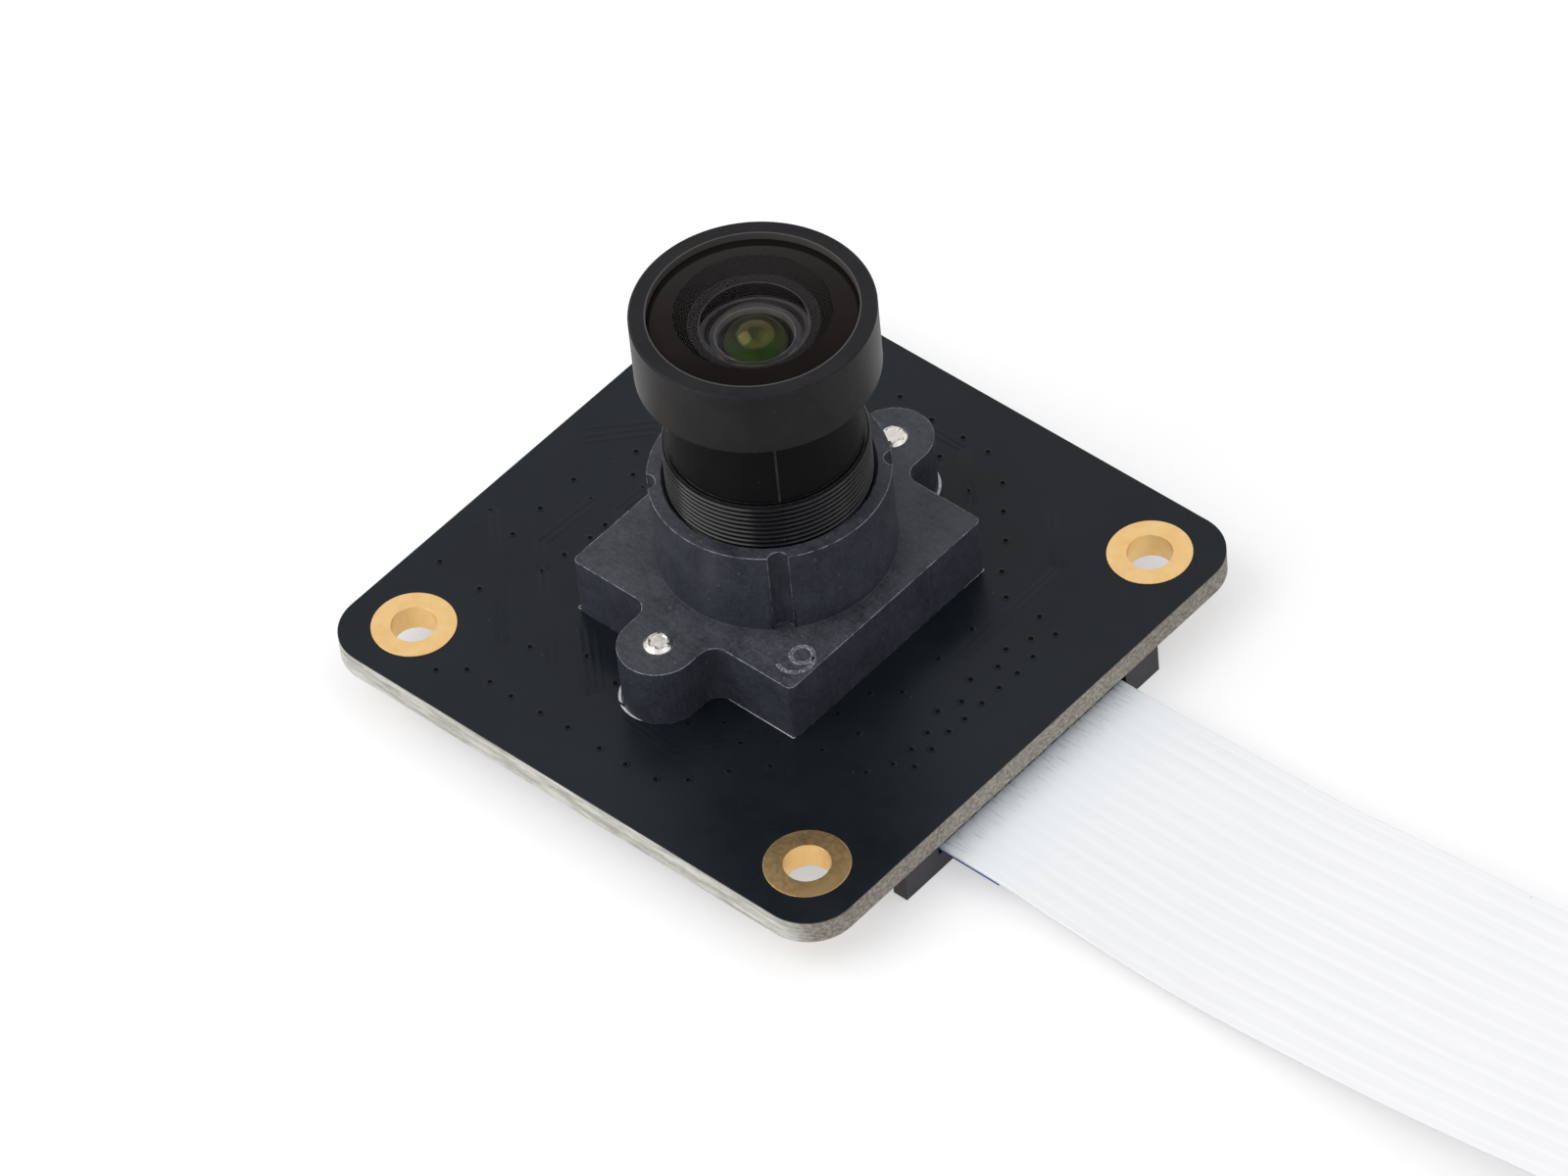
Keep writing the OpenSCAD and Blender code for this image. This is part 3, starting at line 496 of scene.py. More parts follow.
long_layers = add(tree, "TexNoise", {"Vector": position(tree, stretch=(0.35, 0.35, 3.2)), "Scale": 1.0, "Detail": 3.0, "Roughness": 0.55})
threads = add(tree, "TexNoise", {"Vector": position(tree, stretch=(1.6, 4.5, 7.0)), "Scale": 1.0, "Detail": 4.0, "Roughness": 0.6})
layers = figure(tree, "ADD", figure(tree, "MULTIPLY", long_layers.outputs[0], 0.65), figure(tree, "MULTIPLY", threads.outputs[0], 0.35))
fibre = shape(tree, layers, 0.34, 0.68)
cream = blend_colours(tree, fibre, (0.45, 0.44, 0.39, 1), (0.84, 0.83, 0.77, 1))
brown = blend_colours(tree, shape(tree, threads.outputs[0], 0.34, 0.66), (0.23, 0.2, 0.165, 1), (0.48, 0.44, 0.385, 1))
# The side next to the cable is browner and darker, partly the laminate's own colour and partly painted shade.
cable_side_shade = shape(tree, direction.outputs[0], 0.2, 0.8)
edge_colour = blend_colours(tree, cable_side_shade, cream, brown)
top_line = shape(tree, height.outputs[2], 1.5, 1.55)
edge_colour = blend_colours(tree, figure(tree, "MULTIPLY", top_line, 0.8), edge_colour, (0.03, 0.032, 0.03, 1))
join(tree, blend_colours(tree, is_face, edge_colour, mask_colour), shader.inputs["Base Color"])
face_rough = shape(tree, mask_grain.outputs["Clouds"], 0, 1, 0.24, 0.32)
join(tree, add(tree, "Mix", {0: is_face, 2: 0.7, 3: face_rough}).outputs[0], shader.inputs["Roughness"])
relief = add(tree, "Mix", {0: is_face, 2: layers, 3: mask_grain.outputs["Height"]}).outputs[0]
bump(tree, shader, relief, 0.35, 0.000008)
print("material", board_finish.name)

# %% [markdown]
# ## Metals
# The rings are gold over copper: warm, fairly bright, with faint brushed patches. The screws are nickel and the leads are tinned.
# A metal takes its look from what it mirrors, so its roughness has to change a little from place to place.

# %% Metals


def metal(name, first, second, smooth, rough, scratches=6.0, rise=0.000004, radius=0.00004):
    """Plated metal with slow changes of tone and roughness and a fine uneven surface."""
    material, shader = finish(name, Metallic=1.0)
    tree = material.node_tree
    place = position(tree)
    skin = use_group(tree, moulded_grain, Place=place, Grains_per_mm=scratches, Clouds_per_mm=1.1)
    edges = use_group(tree, rubbed_edges_and_highlight, Place=place, Radius=radius, Wear=0.4)
    colour = blend_colours(tree, skin.outputs["Clouds"], first, second)
    join(tree, colour, shader.inputs["Base Color"])
    join(tree, shape(tree, skin.outputs["Grain"], 0, 1, smooth, rough), shader.inputs["Roughness"])
    bump(tree, shader, skin.outputs["Height"], 0.3, rise, edges.outputs["Rounded"])
    return material


gold_plate = metal("gold_plate", (0.96, 0.6, 0.23, 1), (1.0, 0.69, 0.31, 1), 0.28, 0.33, scratches=4.0)
nickel_screw = metal("nickel_screw", (0.72, 0.68, 0.6, 1), (0.86, 0.83, 0.76, 1), 0.16, 0.34, scratches=4.0, rise=0.00003)
screw_cup = plastic(
    "screw_cup", (0.13, 0.115, 0.1, 1), (0.34, 0.31, 0.27, 1), (0.6, 0.58, 0.55, 1), 0.35, 0.6,
    grains=3.0, clouds=2.0, wear=0.2, rise=0.00001, radius=0.00003,
)
tinned_metal = metal("tinned_metal", (0.66, 0.66, 0.64, 1), (0.8, 0.8, 0.77, 1), 0.2, 0.38, scratches=9.0)
contact_metal = metal("contact_metal", (0.72, 0.58, 0.3, 1), (0.86, 0.72, 0.42, 1), 0.18, 0.3, scratches=9.0)
print("metals", gold_plate.name, nickel_screw.name, tinned_metal.name, contact_metal.name)

# %% [markdown]
# ## Ribbon materials
# White film, slightly greyer over the strips and bluish near the connector, with dark streaks at the board's edge that
# are partly the strips showing through and partly painted shade under the board. The stiffener under the end is a blue
# film.

# %% Ribbon film
ribbon_film, shader = finish("ribbon_film", Specular_IOR_Level=0.45, Subsurface_Weight=0.0)
tree = ribbon_film.node_tree
sheet_map = add(tree, "UVMap", uv_map="ribbon_map")
flat = add(tree, "SeparateXYZ", {0: sheet_map.outputs[0]})
across, along = flat.outputs[0], flat.outputs[1]
phase = figure(tree, "FRACT", figure(tree, "ADD", across, 0.5))
from_strip = figure(tree, "ABSOLUTE", figure(tree, "SUBTRACT", phase, 0.5))
gap = shape(tree, from_strip, 0.3, 0.4)
inside_strips = shape(tree, figure(tree, "ABSOLUTE", across), 7.6, 7.45)
streak_place = add(tree, "CombineXYZ", {0: figure(tree, "MULTIPLY", across, 3.0), 1: figure(tree, "MULTIPLY", along, 0.12)})
streaks = add(tree, "TexNoise", {"Vector": streak_place.outputs[0], "Scale": 1.0, "Detail": 4.0, "Roughness": 0.6})
film = blend_colours(tree, shape(tree, streaks.outputs[0], 0.3, 0.7), (0.905, 0.905, 0.91, 1), (0.935, 0.935, 0.94, 1))
film = blend_colours(tree, figure(tree, "MULTIPLY", figure(tree, "MULTIPLY", gap, inside_strips), 0.6), film, (0.965, 0.965, 0.968, 1))
fine_place = add(tree, "CombineXYZ", {0: figure(tree, "MULTIPLY", across, 7.0), 1: figure(tree, "MULTIPLY", along, 0.6)})
fine = add(tree, "TexNoise", {"Vector": fine_place.outputs[0], "Scale": 1.0, "Detail": 5.0, "Roughness": 0.65})
near_mouth = shape(tree, along, 13.0, 4.2)
film = blend_colours(tree, figure(tree, "MULTIPLY", near_mouth, 0.75), film, (0.86, 0.92, 0.94, 1))
# Dark streaks at the board's edge: partly the strips showing through the film, partly painted shade under the board.
edge_streaks_and_shade = figure(tree, "MULTIPLY", shape(tree, along, 6.4, 4.3), shape(tree, fine.outputs[0], 0.5, 0.68))
film = blend_colours(tree, figure(tree, "MULTIPLY", edge_streaks_and_shade, 0.6), film, (0.3, 0.34, 0.38, 1))
specks = use_group(tree, fine_dust, Place=position(tree), Per_mm=0.45, Size=0.035)
film = blend_colours(tree, figure(tree, "MULTIPLY", specks.outputs[0], 0.4), film, (0.5, 0.5, 0.5, 1))
join(tree, film, shader.inputs["Base Color"])
join(tree, shape(tree, streaks.outputs[0], 0.3, 0.7, 0.28, 0.4), shader.inputs["Roughness"])
bump(tree, shader, streaks.outputs[0], 0.25, 0.00003)

stiffener_film = plastic(
    "stiffener_film", (0.02, 0.06, 0.26, 1), (0.035, 0.09, 0.36, 1), (0.2, 0.3, 0.6, 1), 0.35, 0.45,
    grains=6.0, clouds=0.8, wear=0.3, rise=0.000004, radius=0.00003,
)
print("films", ribbon_film.name, stiffener_film.name)

# %% [markdown]
# ## Glass
# The front element is clear glass over a blackened seat. Where only ink lies behind it the glass looks like dark gloss,
# so that zone is made as a dark surface with the same coating, which also renders with far less noise. The warm brown
# of the ink and of that dark surface is partly the ink's own colour and partly a painted sheen.
# The amber in the lens and part of the brown are the coatings' tints on what the glass mirrors: the room and the lamps,
# and these reflections move as they should when the lens is seen from another side. The green centre and olive rim deep
# in the lens are painted reflections on the back of the second element.
# Glass keeps a plain full transmission, and the tint is the colour of the coating.

# %% Glass materials


def glass(name, clear, stain, tint, ior, rough=0.0):
    """Clear glass, faintly stained in places, that tints its reflections like a coating."""
    material, shader = finish(name, Transmission_Weight=1.0, IOR=ior, Specular_Tint=tint)
    tree = material.node_tree
    haze = use_group(tree, moulded_grain, Place=position(tree), Grains_per_mm=1.5, Clouds_per_mm=0.2)
    join(tree, blend_colours(tree, haze.outputs["Clouds"], clear, stain), shader.inputs["Base Color"])
    join(tree, shape(tree, haze.outputs["Clouds"], 0, 1, rough, rough + 0.01), shader.inputs["Roughness"])
    return material


COATING = (0.16, 0.115, 0.09, 1)
front_glass = glass("front_glass", (0.97, 0.95, 0.94, 1), (0.93, 0.91, 0.9, 1), COATING, 1.3)
hollow_glass = glass("hollow_glass", (0.97, 0.96, 0.95, 1), (0.94, 0.92, 0.91, 1), (0.25, 0.25, 0.3, 1), 1.3)
coated_glass = glass("coated_glass", (0.85, 0.85, 0.6, 1), (0.8, 0.8, 0.52, 1), (0.8, 0.78, 0.24, 1), 1.6)
# The dark gloss zone is a warm near-black, partly the ink's colour and partly a painted sheen.
inked_glass_and_sheen, shader = finish("inked_glass_and_sheen", IOR=1.3, Specular_Tint=COATING)
tree = inked_glass_and_sheen.node_tree
haze = use_group(tree, moulded_grain, Place=position(tree), Grains_per_mm=1.5, Clouds_per_mm=0.25)
join(tree, blend_colours(tree, haze.outputs["Clouds"], (0.0096, 0.0073, 0.0067, 1), (0.0116, 0.0089, 0.0083, 1)), shader.inputs["Base Color"])
join(tree, shape(tree, haze.outputs["Clouds"], 0, 1, 0.0, 0.01), shader.inputs["Roughness"])
green_glass = glass("green_glass", (0.3, 0.6, 0.15, 1), (0.25, 0.5, 0.12, 1), (0.35, 1.0, 0.2, 1), 1.8, 0.02)
filter_glass = glass("filter_glass", (0.62, 0.78, 0.8, 1), (0.55, 0.72, 0.75, 1), (0.7, 0.9, 1.0, 1), 1.52, 0.01)
# The green centre and olive rim are painted reflections: the coloured glints of the coatings, painted as a matt colour
# on the back of the second element.
depth_painted_reflection, shader = finish("depth_painted_reflection", Specular_IOR_Level=0.0, Roughness=0.6)
tree = depth_painted_reflection.node_tree
place = position(tree, stretch=(1, 1, 0))
from_axis = add(tree, "VectorMath", {0: place}, operation="LENGTH").outputs["Value"]
depth_cloud = use_group(tree, moulded_grain, Place=place, Grains_per_mm=3.0, Clouds_per_mm=1.2)
middle_green = blend_colours(tree, depth_cloud.outputs["Clouds"], (0.03, 0.1, 0.008, 1), (0.07, 0.19, 0.018, 1))
rim_olive = blend_colours(tree, depth_cloud.outputs["Clouds"], (0.1, 0.096, 0.04, 1), (0.14, 0.13, 0.055, 1))
join(tree, blend_colours(tree, shape(tree, from_axis, 0.7, 1.7), middle_green, rim_olive), shader.inputs["Base Color"])

# %% Inner rims
# The rear ink is a warm near-black, partly its own colour and partly a painted sheen.
rear_ink_and_sheen, shader = finish("rear_ink_and_sheen", Roughness=0.8, Specular_IOR_Level=0.0)
tree = rear_ink_and_sheen.node_tree
haze = use_group(tree, moulded_grain, Place=position(tree), Grains_per_mm=2.0, Clouds_per_mm=0.25)
join(tree, blend_colours(tree, haze.outputs["Clouds"], (0.01, 0.0076, 0.0071, 1), (0.0122, 0.0094, 0.0089, 1)), shader.inputs["Base Color"])

frosted_glass = plastic(
    "frosted_glass", (0.05, 0.05, 0.058, 1), (0.1, 0.1, 0.112, 1), (0.16, 0.16, 0.18, 1), 0.45, 0.1,
    grains=8.0, clouds=1.0, wear=0.2, rise=0.000002, radius=0.00002,
)
# The lip of the ledge is a pale grey: a painted highlight.
lip_painted_highlight = plastic(
    "lip_painted_highlight", (0.16, 0.16, 0.165, 1), (0.32, 0.32, 0.33, 1), (0.5, 0.5, 0.52, 1), 0.4, 0.3,
    grains=8.0, clouds=1.0, wear=0.2, rise=0.000002, radius=0.00002,
)
cone_plastic = plastic(
    "cone_plastic", (0.05, 0.047, 0.05, 1), (0.075, 0.07, 0.075, 1), (0.1, 0.09, 0.08, 1), 0.45, 0.3,
    grains=8.0, clouds=0.8, wear=0.2, rise=0.000002, radius=0.00002,
)
ledge_plastic = plastic(
    "ledge_plastic", (0.035, 0.034, 0.035, 1), (0.065, 0.063, 0.065, 1), (0.16, 0.16, 0.18, 1), 0.45, 0.2,
    grains=8.0, clouds=1.0, wear=0.2, rise=0.000002, radius=0.00002,
)
ground_bevel = plastic(
    "ground_bevel", (0.16, 0.145, 0.11, 1), (0.24, 0.22, 0.17, 1), (0.3, 0.27, 0.2, 1), 0.4, 0.4,
    grains=12.0, clouds=1.2, wear=0.2, rise=0.000002, radius=0.00002,
)
silicon_finish = plastic(
    "silicon_finish", (0.02, 0.022, 0.04, 1), (0.04, 0.05, 0.09, 1), (0.2, 0.2, 0.3, 1), 0.2, 0.8,
    grains=14.0, clouds=2.0, wear=0.2, rise=0.000002, radius=0.00003,
)
print("glasses", front_glass.name, coated_glass.name, filter_glass.name)

# %% [markdown]
# ## Dress the solids
# Each solid names its finish in the record, so one table sends every finish to its material.

# %% Dress the solids
finish_of_slot = {
    "board": board_finish, "gold": gold_plate, "holder": holder_plastic, "screw": nickel_screw,
    "barrel": barrel_plastic, "front_glass": front_glass, "inner_black": inner_plastic, "coated_glass": coated_glass,
    "clear_glass": green_glass, "filter_glass": filter_glass, "ceramic": package_ceramic, "silicon": silicon_finish,
    "connector": connector_plastic, "contact_metal": contact_metal, "tinned_metal": tinned_metal,
    "ribbon": ribbon_film, "stiffener": stiffener_film, "chip_black": chip_epoxy, "capacitor": fired_ceramic,
}
for part in frame["record"]["subparts"]:
    for holder_slot in nodes[part["node"]].material_slots:
        holder_slot.material = finish_of_slot[part["material_slot"]]

# %% Put the ribbon on
ribbon = put_on("flat_ribbon", ribbon_mesh, "board", [ribbon_film])
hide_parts("ribbon_cable")

# %% [markdown]
# ## Fine detail of the board
# Copper tracks swell the mask by a hundredth of a millimetre or two and catch the light as thin soft pairs of lines.
# Small plated holes are black pin-pricks with a faint raised rim, and their black is a flat disc of painted shade for
# the dark inside of each hole.
# A texture could fake them, but real strips and rims catch the light from any side. Each track is a short flat box laid along its line, and each hole is one small turned ring.

# %% Tracks under the mask
BOARD_TOP = 1.6


def strip_between(mesh, start, end, width, low, high, top=1.0):
    """A flat bar from one point of the board to another, with its top narrowed if its shoulders slope."""
    start, end = Vector(start), Vector(end)
    run = end - start
    turn = math.atan2(run.y, run.x)
    middle = (start + end) / 2
    size = Matrix.Diagonal((run.length + width * 0.6, width, high - low, 1))
    place = Matrix.Translation((middle.x, middle.y, (low + high) / 2)) @ Matrix.Rotation(turn, 4, "Z") @ size
    bar = bmesh.ops.create_cube(mesh, size=1.0)["verts"]
    bmesh.ops.scale(mesh, vec=(1 - width * (1 - top) / run.length, top, 1), verts=[v for v in bar if v.co.z > 0])
    bmesh.ops.transform(mesh, matrix=Matrix.Scale(MM, 4) @ place, verts=bar)


track_lines = [
    [(-17.6, -5.65), (-10.2, -13.1)], [(-17.35, -5.25), (-9.9, -12.7)],
    [(-13.6, -1.4), (-13.8, -5.8), (-12.1, -7.5), (-6.9, -12.5)],
    [(-13.1, -1.6), (-13.3, -5.6), (-11.75, -7.15), (-6.5, -12.2)],
    [(-6.5, -8.8), (-2.9, -12.2), (3.2, -12.6), (6.7, -8.6)], [(-6.9, -9.1), (-3.1, -12.6), (3.4, -13.0), (7.1, -8.8)],
    [(-7.3, -9.4), (-3.3, -13.0), (3.6, -13.4), (7.5, -9.1)],
    [(-11.8, 1.1), (-11.9, -1.1), (-10.3, -2.7)], [(-11.4, 0.7), (-11.5, -0.9), (-9.9, -2.5)],
    [(-17.5, 2.9), (-14.6, 5.8), (-9.0, 5.9)], [(-17.1, 2.4), (-14.4, 5.3), (-9.0, 5.5)],
    [(-16.9, 1.9), (-14.2, 4.8), (-9.0, 5.1)],
    [(-3.8, 15.0), (1.2, 15.1), (4.4, 12.0)], [(-3.8, 14.6), (1.0, 14.7), (4.0, 11.7)],
    [(8.2, 13.9), (11.4, 10.8), (11.5, 2.0)], [(8.7, 14.1), (11.8, 11.0), (11.9, 2.2)],
]
tracks = bmesh.new()
for line in track_lines:
    for start, end in zip(line, line[1:]):
        strip_between(tracks, start, end, 0.36, BOARD_TOP - 0.001, BOARD_TOP + 0.014, top=0.3)
mask_tracks = put_on("mask_tracks", tracks, "board", [board_finish], corner=60)

# %% Small plated holes
# Near black for the insides of holes and gaps: painted shade.
pit_black, shader = finish("pit_black", Roughness=0.9, Specular_IOR_Level=0.1)
tree = pit_black.node_tree
pit = use_group(tree, moulded_grain, Place=position(tree), Grains_per_mm=20.0, Clouds_per_mm=4.0)
join(tree, blend_colours(tree, pit.outputs["Grain"], (0.001, 0.001, 0.001, 1), (0.004, 0.004, 0.004, 1)), shader.inputs["Base Color"])
hole_places = [
    (-14.0, 3.1), (-12.9, 1.6), (-11.8, 1.1), (-15.4, -0.8), (-13.6, -1.4), (-11.5, -2.4), (-15.4, -3.7), (-11.5, -3.7),
    (-17.6, -5.6), (-15.3, -6.2), (-11.8, -5.6), (-12.0, -7.4), (-17.2, -10.4), (-13.9, -10.6), (-8.5, -12.2),
    (-5.4, -10.7), (-2.7, -11.3), (-11.6, -16.8), (-10.2, -15.7), (-8.5, -15.6), (-6.8, -15.7), (-4.6, -15.6),
    (-2.6, -15.5), (-0.1, -15.6), (1.9, -15.6), (4.0, -15.4), (5.5, -14.3), (6.9, -12.4), (8.5, -10.7), (2.6, -11.1),
    (4.2, -9.8), (6.0, -10.4), (7.5, -9.1), (10.0, -8.0), (13.1, -7.8), (10.8, -5.8), (8.9, -5.4), (9.3, -3.1),
    (10.7, -1.9), (10.7, 1.3), (10.7, 4.2), (10.7, 7.3), (9.2, 8.7), (7.8, 10.7), (6.2, 12.4), (3.5, 12.4), (4.7, 14.1),
    (0.4, 13.5), (-4.6, 15.8), (-1.9, 15.5), (0.5, 15.5), (2.4, 15.5),
    (13.9, -6.4), (15.0, -5.8), (14.0, -4.9), (14.9, -4.2), (13.9, -3.4), (14.8, -2.6), (13.3, -1.8), (14.9, -1.3),
    (13.9, -0.4), (14.9, 0.2), (13.2, 1.2), (14.9, 1.7), (13.8, 2.9), (15.0, 3.2), (13.3, 4.2), (14.9, 4.7),
    (13.9, 5.7), (14.8, 6.8), (13.2, 7.3),
]
HOLE_R = 0.14
holes = bmesh.new()
for x, y in hole_places:
    for face in holes.faces:
        face.tag = True
    rim = [(HOLE_R, 0.004), (HOLE_R + 0.02, 0.016), (HOLE_R + 0.07, 0.02), (HOLE_R + 0.15, 0.001)]
    verts = [holes.verts.new(Vector((x + r, y, BOARD_TOP + up)) * MM) for r, up in rim]
    edges = [holes.edges.new(pair) for pair in zip(verts, verts[1:])]
    bmesh.ops.spin(
        holes, geom=verts + edges, cent=Vector((x, y, 0)) * MM, axis=(0, 0, 1), angle=2 * math.pi, steps=12, use_merge=True
    )
    # The black disc in each hole is painted shade for the dark inside of the hole.
    disc = bmesh.ops.create_circle(
        holes, cap_ends=True, segments=12, radius=(HOLE_R + 0.005) * MM, matrix=Matrix.Translation(Vector((x, y, BOARD_TOP + 0.005)) * MM)
    )
    for face in {f for v in disc["verts"] for f in v.link_faces}:
        face.material_index = 1
bmesh.ops.recalc_face_normals(holes, faces=holes.faces[:])
for face in holes.faces:
    if face.normal.z < 0:
        face.normal_flip()
plated_holes = put_on("plated_holes", holes, "board", [board_finish, pit_black], corner=60)

# %% [markdown]
# ## Printed outline
# The board maker prints the outline of the holder in white so that it can be lined up. The holder stands on it, a touch turned, so the line peeps out beside the ears and along the foot.
# The whole outline is laid as thin ink, turned by less than half a degree against the moulding, which is why only parts of it show.

# %% Printed outline
ink_white, shader = finish("ink_white", Roughness=0.6, Specular_IOR_Level=0.3)
tree = ink_white.node_tree
ink = use_group(tree, moulded_grain, Place=position(tree), Grains_per_mm=7.0, Clouds_per_mm=1.5)
join(tree, blend_colours(tree, ink.outputs["Grain"], (0.45, 0.46, 0.47, 1), (0.8, 0.81, 0.82, 1)), shader.inputs["Base Color"])
bump(tree, shader, ink.outputs["Height"], 0.4, 0.00001)
INK_TURN = math.radians(-0.45)
INK_HALF, INK_WIDTH, INK_UP = 8.21, 0.16, 0.012
print_lines = bmesh.new()
corners = [(-INK_HALF, -INK_HALF), (INK_HALF, -INK_HALF), (INK_HALF, INK_HALF), (-INK_HALF, INK_HALF)]
for start, end in zip(corners, corners[1:] + corners[:1]):
    strip_between(print_lines, start, end, INK_WIDTH, BOARD_TOP - 0.01, BOARD_TOP + INK_UP)
for ear_x, ear_y, ink_in in ((-0.15, -10.42, 2.1), (0, 10.25, 2.34)):
    ink_out = ink_in + INK_WIDTH
    section = [(ink_in, -0.01), (ink_in, INK_UP), (ink_out, INK_UP), (ink_out, -0.01)]
    verts = [print_lines.verts.new(Vector((ear_x + r, ear_y, BOARD_TOP + up)) * MM) for r, up in section]
    edges = [print_lines.edges.new(pair) for pair in zip(verts, verts[1:] + verts[:1])]
    bmesh.ops.spin(
        print_lines, geom=verts + edges, cent=Vector((ear_x, ear_y, 0)) * MM, axis=(0, 0, 1), angle=2 * math.pi, steps=64, use_merge=True
    )
bmesh.ops.transform(print_lines, matrix=Matrix.Translation((-0.00004, 0, 0)) @ Matrix.Rotation(INK_TURN, 4, "Z"), verts=print_lines.verts[:])
bmesh.ops.recalc_face_normals(print_lines, faces=print_lines.faces[:])
printed_outline = put_on("printed_outline", print_lines, "board", [ink_white], corner=40)

# %% [markdown]
# ## Lens glass
# The front element is a shallow dome with a small hollow in its back. The element behind it is a flat disc whose dome is nearly half a ball, and it stands up into that hollow.
# Glass shows every facet, so both are turned again from their outlines in many fine steps, and their shapes stay those of the solids.

# %% Turning tools


def arc_of_ball(radius, sag, base, count, hollow=False):
    """Points of a spherical cap from its edge to the axis, as (radius, height). A negative sag hangs down."""
    ball = (radius**2 + sag**2) / (2 * sag)
    reach = math.asin(radius / abs(ball))
    points = []
    for i in range(count + 1):
        a = reach * (1 - i / count)
        points.append((abs(ball) * math.sin(a), base + sag - ball * (1 - math.cos(a))))
    return points[::-1] if hollow else points


def turned(mesh, points, steps, closed=False):
    """Turns an outline of (radius, height) points round the lens axis."""
    verts = [mesh.verts.new(Vector((r, 0, z)) * MM) for r, z in points]
    pairs = list(zip(verts, verts[1:])) + ([(verts[-1], verts[0])] if closed else [])
    edges = [mesh.edges.new(pair) for pair in pairs]
    bmesh.ops.spin(mesh, geom=verts + edges, cent=(0, 0, 0), axis=(0, 0, 1), angle=2 * math.pi, steps=steps, use_merge=True)
    bmesh.ops.remove_doubles(mesh, verts=mesh.verts[:], dist=1e-7)
    bmesh.ops.recalc_face_normals(mesh, faces=mesh.faces[:])


# %% Front element
SEAT_Z, FRONT_EDGE = 22.85, 23.95
HOLLOW_R, CLEAR_R, INK_R = 3.0, 3.7, 4.5
dome = bmesh.new()
outline = (
    arc_of_ball(HOLLOW_R, 0.95, SEAT_Z + 0.01, 14, hollow=True) + [(HOLLOW_R + 0.06, SEAT_Z + 0.01), (CLEAR_R, SEAT_Z + 0.01), (5.9, SEAT_Z + 0.01), (5.95, SEAT_Z + 0.06)]
    + arc_of_ball(5.95, 0.548, FRONT_EDGE, 20)
)
turned(dome, outline, 128)
for face in dome.faces:
    middle = face.calc_center_median() / MM
    if middle.z < FRONT_EDGE:
        face.material_index = 1 if middle.xy.length > CLEAR_R else 2
    elif middle.xy.length > INK_R:
        face.material_index = 3
front_dome = put_on("front_dome", dome, "lens_glass", [front_glass, rear_ink_and_sheen, hollow_glass, inked_glass_and_sheen], corner=30)
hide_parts("front_lens")

# %% Ground edge of the hollow
ground = bmesh.new()
turned(ground, [(HOLLOW_R + r, SEAT_Z + up) for r, up in ((0.005, -0.03), (0, 0.01), (0.02, 0.02), (0.05, 0.015), (0.05, -0.03))], 96, closed=True)
ground_edge = put_on("ground_edge", ground, "lens_glass", [frosted_glass], corner=60)

# %% Funnel behind the front element
low_corner, high_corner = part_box("second_lens")
ELEMENT_R = high_corner.x / MM
SECOND_TOP = low_corner.z / MM + 1.8
LEDGE_R, LEDGE_Z = 2.45, 21.95
funnel = bmesh.new()
funnel_outline = [
    (ELEMENT_R, SECOND_TOP), (ELEMENT_R, 22.8), (CLEAR_R, 22.8), (3.1, 22.6), (LEDGE_R + 0.45, 22.5), (LEDGE_R + 0.43, 22.46),
    (LEDGE_R + 0.38, 22.3), (LEDGE_R + 0.34, LEDGE_Z + 0.04), (LEDGE_R, LEDGE_Z), (LEDGE_R - 0.02, LEDGE_Z - 0.05),
    (LEDGE_R - 0.06, SECOND_TOP + 0.3), (LEDGE_R - 0.02, SECOND_TOP),
]
turned(funnel, funnel_outline, 96, closed=True)
for face in funnel.faces:
    middle = face.calc_center_median() / MM
    reach = middle.xy.length
    if LEDGE_R + 0.44 < reach < HOLLOW_R + 0.11 and middle.z > 22.5:
        face.material_index = 1
    elif HOLLOW_R + 0.11 < reach < CLEAR_R + 0.1 and middle.z > 22.5:
        face.material_index = 4
    elif LEDGE_R + 0.1 < reach < LEDGE_R + 0.35 and middle.z < LEDGE_Z + 0.1:
        face.material_index = 2
    elif reach < LEDGE_R + 0.01 and middle.z > SECOND_TOP + 0.2:
        face.material_index = 3
lens_funnel = put_on(
    "lens_funnel", funnel, "lens_glass", [inner_plastic, cone_plastic, ledge_plastic, ground_bevel, rear_ink_and_sheen], corner=50
)
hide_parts("front_spacer")

# %% Bright lip of the ledge
# The lip is painted pale grey all round: a painted highlight along the ledge.
lip = bmesh.new()
LIP_T = 0.026
turned(
    lip,
    [(LEDGE_R + LIP_T * math.cos(a * math.pi / 4), LEDGE_Z + 0.01 + LIP_T * math.sin(a * math.pi / 4)) for a in range(8)],
    96, closed=True,
)
funnel_lip = put_on("funnel_lip", lip, "lens_glass", [lip_painted_highlight], corner=80)

# %% Second element
small = bmesh.new()
bottom = low_corner.z / MM
DOME_R, DOME_SAG, DOME_FOOT = 1.98, 1.45, 0.3
BOWL_R, BOWL_SAG = 3.3, 0.9
outline = (
    arc_of_ball(BOWL_R, -BOWL_SAG, bottom + BOWL_SAG, 18, hollow=True) + [(ELEMENT_R - 0.01, bottom + BOWL_SAG), (ELEMENT_R - 0.01, SECOND_TOP)]
    + [(2.1, SECOND_TOP), (2.04, SECOND_TOP + 0.02), (DOME_R, SECOND_TOP + 0.08)] + arc_of_ball(DOME_R, DOME_SAG, SECOND_TOP + DOME_FOOT, 24)
)
turned(small, outline, 96)
for face in small.faces:
    middle = face.calc_center_median() / MM
    if middle.z < SECOND_TOP - 0.1:
        face.material_index = 1
    elif middle.z < SECOND_TOP + 0.01 and middle.xy.length > DOME_R:
        face.material_index = 2
